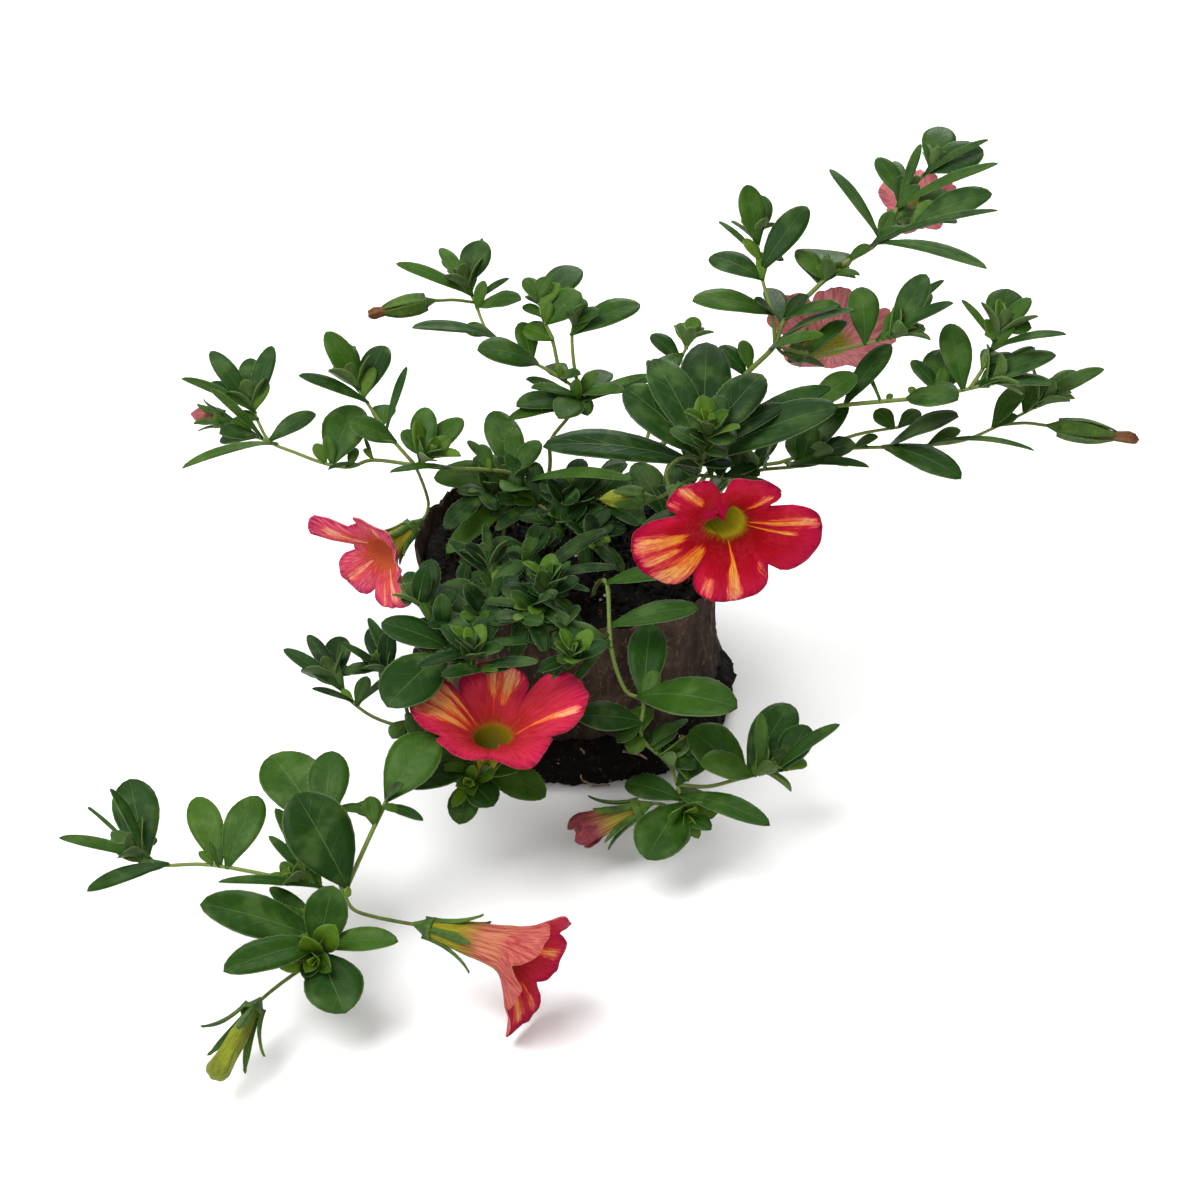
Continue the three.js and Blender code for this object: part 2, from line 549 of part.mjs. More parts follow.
function solid(points, faces) {
  const vertProperties = new Float32Array(points.flatMap((p) => [p.x, p.y, p.z]));
  const triVerts = new Uint32Array(faces.flat());
  const mesh = new SolidMesh({ numProp: 3, vertProperties, triVerts });
  mesh.merge();
  const body = new Manifold(mesh);
  if (body.volume() >= 0) {
    return body;
  }
  const flipped = faces.map(([a, b, c]) => [a, c, b]);
  return solid(points, flipped);
}

function sideways(direction) {
  const guide = Math.abs(direction.z) > 0.9 ? ACROSS : SKY;
  return guide.clone().cross(direction).normalize();
}

// A round bar through the points, with mitred joints and the side vectors carried along.
function bar(points, radii, sides) {
  const rings = [];
  let side = null;
  points.forEach((point, i) => {
    const before = points[Math.max(0, i - 1)];
    const after = points[Math.min(points.length - 1, i + 1)];
    const along = after.clone().sub(before).normalize();
    side = side ? side.addScaledVector(along, -side.dot(along)).normalize() : sideways(along);
    const other = along.clone().cross(side);
    const ring = [];
    for (let k = 0; k < sides; k += 1) {
      const turn = 2 * Math.PI * k / sides;
      ring.push(point.clone()
        .addScaledVector(side, radii[i] * Math.cos(turn))
        .addScaledVector(other, radii[i] * Math.sin(turn)));
    }
    rings.push(ring);
  });
  return loft(rings);
}

// A leaf blade between its root and its tip: arched, flat above and keeled below.
// bare is how much of it, measured from the root, is left off.
function blade(leaf, outline, thickness, bare = 0) {
  const { root, along, normal, length, width } = leaf;
  const across = normal.clone().cross(along).normalize();
  const over = along.clone().cross(across);
  const start = root.clone().addScaledVector(along, -ROOT_DEPTH);
  const rings = outline.map(([share, spread]) => {
    const half = Math.max(PETIOLE, spread * width / 2);
    const rise = LEAF_ARCH * length * 4 * share * (1 - share) + thickness / 3;
    const middle = root.clone()
      .addScaledVector(along, share * length)
      .addScaledVector(over, rise);
    return [
      middle.clone().addScaledVector(across, half),
      middle.clone().addScaledVector(across, -half),
      middle.clone().addScaledVector(over, -thickness),
    ];
  });
  const tip = root.clone().addScaledVector(along, length);
  if (bare > 0) {
    const share = (bare + ROOT_DEPTH) / (outline[0][0] * length + ROOT_DEPTH);
    const cut = rings[0].map((point) => start.clone().lerp(point, share));
    return loft([cut, ...rings], null, tip);
  }
  return loft(rings, start, tip);
}

// ------------------------------------------------------------------ leaf rules
function leafFromTip(point, root, [across, up, width, tilt, roll = 0]) {
  const da = across - point[0];
  const db = up - point[1];
  const depth = depthOf(root);
  const scale = depth / DRAWING_REACH;
  const lean = tilt === undefined ? restTilt(da, db) : rad(tilt);
  const tip = atDepth(across, up, depth - Math.hypot(da, db) * scale * Math.tan(lean));
  const along = tip.sub(root);
  const length = along.length();
  along.normalize();
  const normal = LEAF_FACING.clone().addScaledVector(along, -LEAF_FACING.dot(along)).normalize();
  normal.applyAxisAngle(along, rad(roll));
  return { root, along, normal, length, width: width * scale };
}

// The youngest leaves of a shoot, still standing round its growing tip.
function tuftLeaves(root, along, count, size) {
  const axis = along.clone().addScaledVector(SKY, 0.7).normalize();
  const side = sideways(axis);
  const leaves = [];
  for (let i = 0; i < count; i += 1) {
    const open = rad(14 + 30 * (1 - i / count));
    const out = side.clone().applyAxisAngle(axis, rad(GOLDEN_ANGLE * i + 40 * size));
    const length = size * (1 - 0.25 * i);
    leaves.push({
      root,
      along: axis.clone().multiplyScalar(Math.cos(open)).addScaledVector(out, Math.sin(open)),
      normal: axis.clone().multiplyScalar(Math.sin(open)).addScaledVector(out, -Math.cos(open)),
      length,
      width: 0.46 * length,
      young: true,
    });
  }
  return leaves;
}

// All the ways a leaf may be bent or shortened to stand clear, mildest first.
function* variants(leaf) {
  for (const share of [1, 0.82, 0.64]) {
    for (const turn of [0, 8, 17, 28, 40]) {
      for (let k = 0; k < (turn ? 8 : 1); k += 1) {
        const across = leaf.normal.clone().cross(leaf.along).normalize();
        const pitch = rad(turn * Math.cos(k * Math.PI / 4));
        const yaw = rad(turn * Math.sin(k * Math.PI / 4));
        const along = leaf.along.clone().applyAxisAngle(across, pitch);
        const normal = leaf.normal.clone().applyAxisAngle(across, pitch);
        along.applyAxisAngle(normal, yaw);
        yield {
          root: leaf.root,
          along,
          normal,
          length: leaf.length * share,
          width: leaf.width * (0.5 + 0.5 * share),
        };
      }
    }
  }
}

function outlineOf(length) {
  if (length > 13) {
    return BIG_LEAF;
  }
  return length > 7.5 ? SMALL_LEAF : TINY_LEAF;
}

// --------------------------------------------------------------------- flowers
// The calyx: a green cup with five narrow sepals standing on its rim.
function calyxSolid(base, axis, sepal, open) {
  const side = sideways(axis);
  const place = (turn, radius, rise) => base.clone()
    .addScaledVector(axis, rise)
    .addScaledVector(side.clone().applyAxisAngle(axis, turn), radius);
  const circle = (radius, rise) => {
    const turns = Array.from({ length: 5 }, (_, k) => [rad(72 * k - 14), rad(72 * k + 14)]);
    return turns.flat().map((turn) => place(turn, radius, rise));
  };
  const points = [
    ...circle(1.3, 0.9), ...circle(CUP_RADIUS, CUP_HEIGHT - 0.4), ...circle(CUP_WELL, CUP_HEIGHT - 0.2),
    place(0, 0, -0.8), place(0, 0, CUP_HEIGHT - 0.2),
  ];
  const faces = [];
  for (let k = 0; k < 10; k += 1) {
    const l = (k + 1) % 10;
    faces.push([20 + 10, l, k], [k, l, 10 + l], [k, 10 + l, 10 + k], [31, 20 + k, 20 + l]);
    if (k % 2) {
      faces.push([10 + k, 10 + l, 20 + l], [10 + k, 20 + l, 20 + k]);
    } else {
      const spread = rad(open);
      const turn = rad(36 * k);
      const tip = place(turn, CUP_RADIUS + sepal * Math.sin(spread), CUP_HEIGHT + sepal * Math.cos(spread));
      points.push(tip);
      const apex = points.length - 1;
      faces.push([10 + k, 10 + l, apex], [10 + l, 20 + l, apex]);
      faces.push([20 + l, 20 + k, apex], [20 + k, 10 + k, apex]);
    }
  }
  return solid(points, faces);
}

// Samples round the mouth, as [turn, length of the limb, opening from the axis]. Three
// samples shape each rounded lobe: the notch before it and its two shoulders.
function limbSamples({ lobes, spin, notch }) {
  const samples = [];
  lobes.forEach(([length, open], i) => {
    const [lengthBefore, openBefore] = lobes[(i + 4) % 5];
    const centre = spin + 72 * i;
    const parting = notch * Math.min(length, lengthBefore);
    samples.push([rad(centre - 36), parting, rad((open + openBefore) / 2)]);
    samples.push([rad(centre - 16), length, rad(open)]);
    samples.push([rad(centre + 16), length, rad(open)]);
  });
  return samples;
}

function corollaSolid(flower) {
  const base = at(flower.calyx);
  const mouth = at(flower.mouth);
  const start = mouth.clone().sub(base).normalize();
  const face = new THREE.Vector3(...flower.face).normalize();
  const reference = Math.abs(face.z) > 0.8 ? new THREE.Vector3(0, 1, 0) : SKY;
  const tubeStart = base.clone().addScaledVector(start, CUP_HEIGHT + GAP);
  const samples = limbSamples(flower);
  const [foot, waist, throat] = flower.tube;
  const lining = foot + (waist - foot) * 0.3 / 0.55 - PETAL_THICKNESS;
  const ring = (centre, axis, place) => {
    const first = reference.clone().addScaledVector(axis, -reference.dot(axis)).normalize();
    const second = axis.clone().cross(first);
    return samples.map((sample) => {
      const [radius, rise] = place(sample);
      return centre.clone()
        .addScaledVector(axis, rise)
        .addScaledVector(first, radius * Math.cos(sample[0]))
        .addScaledVector(second, radius * Math.sin(sample[0]));
    });
  };
  const tube = (share, radius) => {
    const axis = start.clone().lerp(face, share * share).normalize();
    return ring(tubeStart.clone().lerp(mouth, share), axis, () => [radius, 0]);
  };
  const limb = (share, inset) => ring(mouth, face, ([, length, open]) => {
    const bend = open * (share > 0.6 ? 0.96 : 0.86);
    return [
      throat + length * share * Math.sin(bend) - inset * Math.cos(bend),
      length * share * Math.cos(bend) + inset * Math.sin(bend),
    ];
  });
  return loft([
    tube(0, foot),
    tube(0.55, waist),
    limb(0, 0),
    limb(0.55, 0),
    limb(1, 0),
    limb(1, PETAL_THICKNESS),
    limb(0.55, PETAL_THICKNESS),
    limb(0, PETAL_THICKNESS),
    tube(0.3, lining),
  ]);
}

function budSolid(bud) {
  const base = at(bud.calyx);
  const end = at(bud.end);
  const axis = end.clone().sub(base).normalize();
  const start = base.clone().addScaledVector(axis, CUP_HEIGHT + GAP);
  const form = BUD_FORMS[bud.form];
  const points = form.map(([share]) => start.clone().lerp(end, share));
  return bar(points, form.map(([, radius]) => radius), 6);
}

// -------------------------------------------------------------------- the plug
function plugRadius(turn, rx, ry) {
  const x = Math.abs(Math.cos(turn) / rx);
  const y = Math.abs(Math.sin(turn) / ry);
  return Math.pow(Math.pow(x, PLUG_POWER) + Math.pow(y, PLUG_POWER), -1 / PLUG_POWER);
}

// Soft folds of the paper round the plug.
function folds(turn) {
  return 0.4 * Math.sin(5 * turn + 1) + 0.3 * Math.sin(8 * turn + 2.3);
}

// Higher at the left and back, dipping at the right front, with a few small waves.
function rimHeight(turn) {
  return SLEEVE_RIM + 1.3 * Math.cos(turn - rad(160)) + 0.6 * Math.sin(6 * turn + 0.5);
}

const PLUG_SEGMENTS = 24;

function plugRing(height, rx, ry, inset, rough = 0) {
  const ring = [];
  for (let i = 0; i < PLUG_SEGMENTS; i += 1) {
    const turn = 2 * Math.PI * i / PLUG_SEGMENTS;
    const lumps = rough * (Math.sin(7 * turn + 0.4) + Math.sin(11 * turn + 2) + Math.sin(3 * turn));
    const radius = plugRadius(turn, rx, ry) + folds(turn) - inset + lumps;
    const z = typeof height === "function" ? height(turn) : height;
    ring.push(new THREE.Vector3(radius * Math.cos(turn), radius * Math.sin(turn), z));
  }
  return ring;
}

function sleeveSolid() {
  const wall = (inset) => [
    plugRing(SLEEVE_FOOT, PLUG_RX - 0.2, PLUG_RY, inset),
    plugRing(19, PLUG_RX - 1.6, PLUG_RY - 1, inset),
    plugRing(rimHeight, PLUG_RX, PLUG_RY, inset),
  ];
  const outside = wall(0);
  const inside = wall(SLEEVE_WALL);
  const rings = [...outside, ...inside.reverse()];
  const points = rings.flat();
  const faces = [];
  const n = PLUG_SEGMENTS;
  rings.forEach((_, i) => {
    const next = (i + 1) % rings.length;
    for (let k = 0; k < n; k += 1) {
      const l = (k + 1) % n;
      faces.push([i * n + k, i * n + l, next * n + l], [i * n + k, next * n + l, next * n + k]);
    }
  });
  return solid(points, faces);
}

// Peat and roots: a flared mass below the sleeve, the core inside it and a crumbly top.
function peatSolid() {
  const inset = SLEEVE_WALL + GAP + 0.1;
  const top = (share, height) => {
    const ring = plugRing(0, (PLUG_RX - 2) * share, (PLUG_RY - 2) * share, share * 1.2);
    return ring.map((p, i) => p.setZ(height + 0.5 * Math.sin(i * 2.1 + share * 9)));
  };
  return loft([
    plugRing(0, PLUG_RX + 1.6, PLUG_RY + 2.6, 0, 0.3),
    plugRing(2.5, PLUG_RX + 3, PLUG_RY + 4, 0, 0.45),
    plugRing(6.4, PLUG_RX + 1.6, PLUG_RY + 2.6, 0, 0.4),
    plugRing(SLEEVE_FOOT - 0.5, PLUG_RX + 0.2, PLUG_RY + 0.6, 0, 0.15),
    plugRing(SLEEVE_FOOT - GAP, PLUG_RX - 0.2, PLUG_RY, inset + 0.2),
    plugRing(19, PLUG_RX - 1.6, PLUG_RY - 1, inset),
    plugRing(SOIL_TOP - 1.4, PLUG_RX - 0.3, PLUG_RY - 0.2, inset + 0.1),
    top(0.9, SOIL_TOP - 0.3),
    top(0.55, SOIL_TOP + 0.4),
    top(0.2, SOIL_TOP + 0.6),
  ]);
}

// --------------------------------------------------------------------- growing
const FOOT_DEPTH = HOLE_FLOOR + GAP;
const FOOT_TOP = SOIL_TOP + 2.2;

function footPoints([x, y]) {
  return [new THREE.Vector3(x, y, FOOT_DEPTH), new THREE.Vector3(x, y, FOOT_TOP)];
}

function holeSolid([x, y]) {
  const points = [new THREE.Vector3(x, y, HOLE_FLOOR), new THREE.Vector3(x, y, SOIL_TOP + 6)];
  const radius = (FOOT_RADIUS + GAP) / Math.cos(Math.PI / HOLE_SIDES);
  return bar(points, [radius, radius], HOLE_SIDES);
}

function taper(count, from, to) {
  return Array.from({ length: count }, (_, i) => from + (to - from) * i / Math.max(1, count - 1));
}

// The leaves of one node, longest lowest, each a step further up the stem.
function leavesAt(point, place, before) {
  const along = place.clone().sub(before);
  const reach = along.length();
  along.normalize();
  const listed = point.slice(3).filter((growth) => growth[0] !== "tuft");
  const spans = listed.map(([across, up]) => Math.hypot(across - point[0], up - point[1]));
  const order = listed.map((_, i) => i).sort((i, j) => spans[j] - spans[i]);
  const step = Math.min(NODE_STEP, 0.8 * reach / Math.max(1, listed.length));
  const leaves = order.map((index, rank) => {
    const down = (listed.length - 1 - rank) * step;
    return leafFromTip(point, place.clone().addScaledVector(along, -down), listed[index]);
  });
  point.slice(3).filter((growth) => growth[0] === "tuft").forEach(([, count, size]) => {
    leaves.push(...tuftLeaves(place, along, count, size));
  });
  return leaves;
}

// The stems of a shoot and the list of leaves that want to grow on them.
function growStems(shoot) {
  const solids = [];
  const leaves = [];
  shoot.stems.forEach((stem, index) => {
    const drawn = stem.map(at);
    const points = index === 0 ? [...footPoints(shoot.foot), ...drawn] : drawn;
    const from = index === 0 ? FOOT_RADIUS : STEM_RADIUS;
    solids.push(bar(points, taper(points.length, from, 0.62), STEM_SIDES));
    stem.forEach((point, i) => {
      const before = i > 0 ? drawn[i - 1] : points[1];
      leaves.push(...leavesAt(point, drawn[i], before));
    });
  });
  return { solids, leaves };
}

function growPedicel(pieces, { pedicel, calyx, sepal, open }, end) {
  const base = at(calyx);
  const axis = at(end).sub(base).normalize();
  const points = [...pedicel.map(at), base];
  pieces.push(bar(points, points.map(() => PEDICEL_RADIUS), STEM_SIDES));
  pieces.push(calyxSolid(base, axis, sepal, open));
}

function reaches(a, b, margin) {
  const p = a.boundingBox();
  const q = b.boundingBox();
  return [0, 1, 2].every((i) => p.min[i] - margin < q.max[i] && q.min[i] - margin < p.max[i]);
}

function touches(body, pieces, gap) {
  return pieces.some((piece) => reaches(body, piece, gap) && body.minGap(piece, gap + 0.05) < gap);
}

// A leaf stands clear of the ground and of every other node, and its blade doesn't
// cross what already grows on its own shoot. A listed leaf may do so if it has to.
function growLeaf(leaf, own, bodies) {
  let fallback = null;
  for (const variant of variants(leaf)) {
    const outline = outlineOf(variant.length);
    const whole = blade(variant, outline, LEAF_THICKNESS);
    const clear = whole.boundingBox().min[2] > 0.4
      && [...bodies].every(([name, pieces]) => name === own || !touches(whole, pieces, GAP));
    const bladeOnly = blade(variant, outline, LEAF_THICKNESS, STALK);
    const open = clear && !touches(bladeOnly, bodies.get(own), 0.02);
    if (open) {
      bodies.get(own).push(whole);
      return;
    }
    if (clear && !leaf.young) {
      fallback = fallback ?? whole;
    }
  }
  if (fallback) {
    bodies.get(own).push(fallback);
  }
}

function fuse(pieces) {
  const whole = Manifold.union(pieces);
  const parts = whole.decompose();
  return parts.reduce((best, part) => (part.volume() > best.volume() ? part : best));
}

function growPlant() {
  const bodies = new Map();
  const wanted = [];
  let peat = peatSolid();
  for (const [name, shoot] of Object.entries(SHOOTS)) {
    const { solids, leaves } = growStems(shoot);
    bodies.set(name, solids);
    leaves.forEach((leaf) => wanted.push([name, leaf]));
    peat = peat.subtract(holeSolid(shoot.foot));
  }
  for (const flower of Object.values(FLOWERS)) {
    growPedicel(bodies.get(flower.shoot), { ...flower, open: SEPAL_SPREAD }, flower.mouth);
  }
  for (const bud of Object.values(BUDS)) {
    growPedicel(bodies.get(bud.shoot), bud, bud.end);
  }
  for (const [name, flower] of Object.entries(FLOWERS)) {
    bodies.set(`corolla_${name}`, [corollaSolid(flower)]);
  }
  for (const [name, bud] of Object.entries(BUDS)) {
    bodies.set(`bud_${name}`, [budSolid(bud)]);
  }
  bodies.set("paper_sleeve", [sleeveSolid()]);
  bodies.set("peat_plug", [peat]);
  wanted.sort(([, a], [, b]) => (b.length > 9.5) - (a.length > 9.5));
  wanted.forEach(([name, leaf]) => growLeaf(leaf, name, bodies));
  return bodies;
}

// -------------------------------------------------------------------- assembly
function colourOf(name) {
  const fixed = {
    paper_sleeve: "paper",
    peat_plug: "peat",
    corolla_behind: "petal_pale",
    corolla_far: "petal_pale",
    bud_right_spent: "bud_brown",
    bud_left_spent: "bud_brown",
    bud_low_yellow: "bud_yellow",
    bud_crown_green: "bud_yellow",
    bud_front_pink: "bud_pink",
    bud_left_pink: "bud_pink",
  };
  return fixed[name] ?? (name.startsWith("corolla") ? "petal" : "leaf");
}

function meshOf(name, body) {
  const { vertProperties, triVerts, numProp } = body.getMesh();
  const geometry = new THREE.BufferGeometry();
  const positions = new Float32Array(vertProperties.length / numProp * 3);
  for (let i = 0; i < positions.length / 3; i += 1) {
    positions[3 * i] = vertProperties[numProp * i];
    positions[3 * i + 1] = vertProperties[numProp * i + 1];
    positions[3 * i + 2] = vertProperties[numProp * i + 2];
  }
  geometry.setAttribute("position", new THREE.BufferAttribute(positions, 3));
  geometry.setIndex(new THREE.BufferAttribute(new Uint32Array(triVerts), 1));
  geometry.computeVertexNormals();
  const mesh = new THREE.Mesh(geometry, material(colourOf(name)));
  mesh.name = name;
  return mesh;
}

const plant = new THREE.Group();
plant.name = "calibrachoa";
for (const [name, pieces] of growPlant()) {
  plant.add(meshOf(name, fuse(pieces)));
}

export default plant;
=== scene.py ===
"""Calibrachoa young plant in flower, in a paper-sleeved peat plug: the finished look of the plant.

The plant's habit is laid out in millimetres with the same drawing rules as its solids, and each
leafy stem, corolla and bud of the frame gets a finer piece of the same form. Metres in Blender.
"""

import math
import random

import bpy
import numpy as np
from mathutils import Matrix, Vector, noise
from mathutils.kdtree import KDTree


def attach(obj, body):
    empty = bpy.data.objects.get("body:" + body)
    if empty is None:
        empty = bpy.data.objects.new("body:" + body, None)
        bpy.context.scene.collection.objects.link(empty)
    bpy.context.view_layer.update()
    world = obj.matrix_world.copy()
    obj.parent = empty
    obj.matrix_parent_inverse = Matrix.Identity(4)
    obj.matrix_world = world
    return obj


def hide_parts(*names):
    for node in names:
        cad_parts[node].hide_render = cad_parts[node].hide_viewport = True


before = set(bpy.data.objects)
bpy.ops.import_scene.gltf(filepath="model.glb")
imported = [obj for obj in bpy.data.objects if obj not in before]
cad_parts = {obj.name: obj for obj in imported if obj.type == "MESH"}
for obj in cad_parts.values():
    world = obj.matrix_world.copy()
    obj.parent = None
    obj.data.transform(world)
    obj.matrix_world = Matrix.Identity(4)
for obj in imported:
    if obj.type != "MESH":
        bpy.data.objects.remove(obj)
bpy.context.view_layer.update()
bpy.ops.object.select_all(action="DESELECT")

MM = 0.001

# ---------------------------------------------------------------- dimensions, millimetres
PLUG_RX, PLUG_RY, PLUG_POWER = 30.4, 27.4, 2.35
SLEEVE_FOOT, SLEEVE_WAIST, SLEEVE_RIM, SLEEVE_WALL, PAPER = 9.0, 19, 36.6, 1.0, 0.5
SOIL_TOP = 34.4
FOOT_DEPTH, FOOT_TOP = 28.32, 36.6
FOOT_RADIUS, STEM_RADIUS, STEM_TIP, PEDICEL_RADIUS = 0.45, 0.4, 0.29, 0.33
LEAF_ARCH, LEAF_THICKNESS, ROOT_DEPTH = 0.07, 0.9, 0.3
NODE_STEP = 1.4
BLADE_THICKNESS = PETAL_THICKNESS = 0.34
CUP_HEIGHT, CUP_RADIUS, CUP_SEAT = 3.0, 2.4, 0.9
SEPAL_WIDTH, HUGGING_WIDTH = 1.75, 2.9
GAP = 0.32

# ------------------------------------------------------------------------ angles, degrees
LEAF_RISE, LEAF_TILT = 25, 40
SEPAL_SPREAD, HUGGING_SPREAD = 17, 6
LEAF_TURN, TUFT_TURN, TUFT_OPENING = 137.5, 40, 44
LOBE_ANGLE = 72

# ----------------------------------------------------------- how much leaves differ, shares
FOLD, WAVE, WAVES = (0.06, 0.2), (0.02, 0.05), (1.4, 2.6)
DROOP, BEND = (-0.01, 0.05), (-0.025, 0.025)
FULL_WIDTH, THINNEST = 0.42, 0.3
# In millimetres: the lengths from which a leaf has the large pattern, its full width, its full
# thickness and side leaves of its own, and how long the filler leaves are.
LARGE_FROM, WIDE_FROM, THICK_FROM, BRANCHING_FROM = 9.5, 13, 6, 5.5
FILLER = (5, 8.5)
TIP_LIFT, TIP_LEAVES = 0.7, 8
SHORTENED, BENT = (1, 0.82, 0.64), (0, 8, 17, 28, 40)

# --------------------------------------------------------------- hairs, millimetres and counts
STEM_HAIRS, EDGE_HAIR_SPACING, TUBE_HAIRS = 3, 0.8, 150
HAIR_RADIUS, EDGE_HAIR_RADIUS, TUBE_HAIR_RADIUS = 0.028, 0.022, 0.03
HAIR_CORNERS = (0, 2.09, 4.19)

# -------------------------------------------------------------- camera, lights and the floor
SENSOR, LENS = 36, 73.8
SKY_LIGHT = 0.42
FLOOR_SIZE, FLOOR_DROP = 6, 0.0003

# ------------------------------------------------------------------------ design drawing
DRAWING_CENTRE = Vector((6.1, 0, 23.5))
DRAWING_REACH = 492
SIN, COS = math.sin(math.radians(34)), math.cos(math.radians(34))
ACROSS, UPWARD, TOWARD = Vector((1, 0, 0)), Vector((0, SIN, COS)), Vector((0, -COS, SIN))
EYE = DRAWING_CENTRE + TOWARD * DRAWING_REACH
SKY = Vector((0, 0, 1))
LEAF_FACING = SKY + TOWARD * 0.5

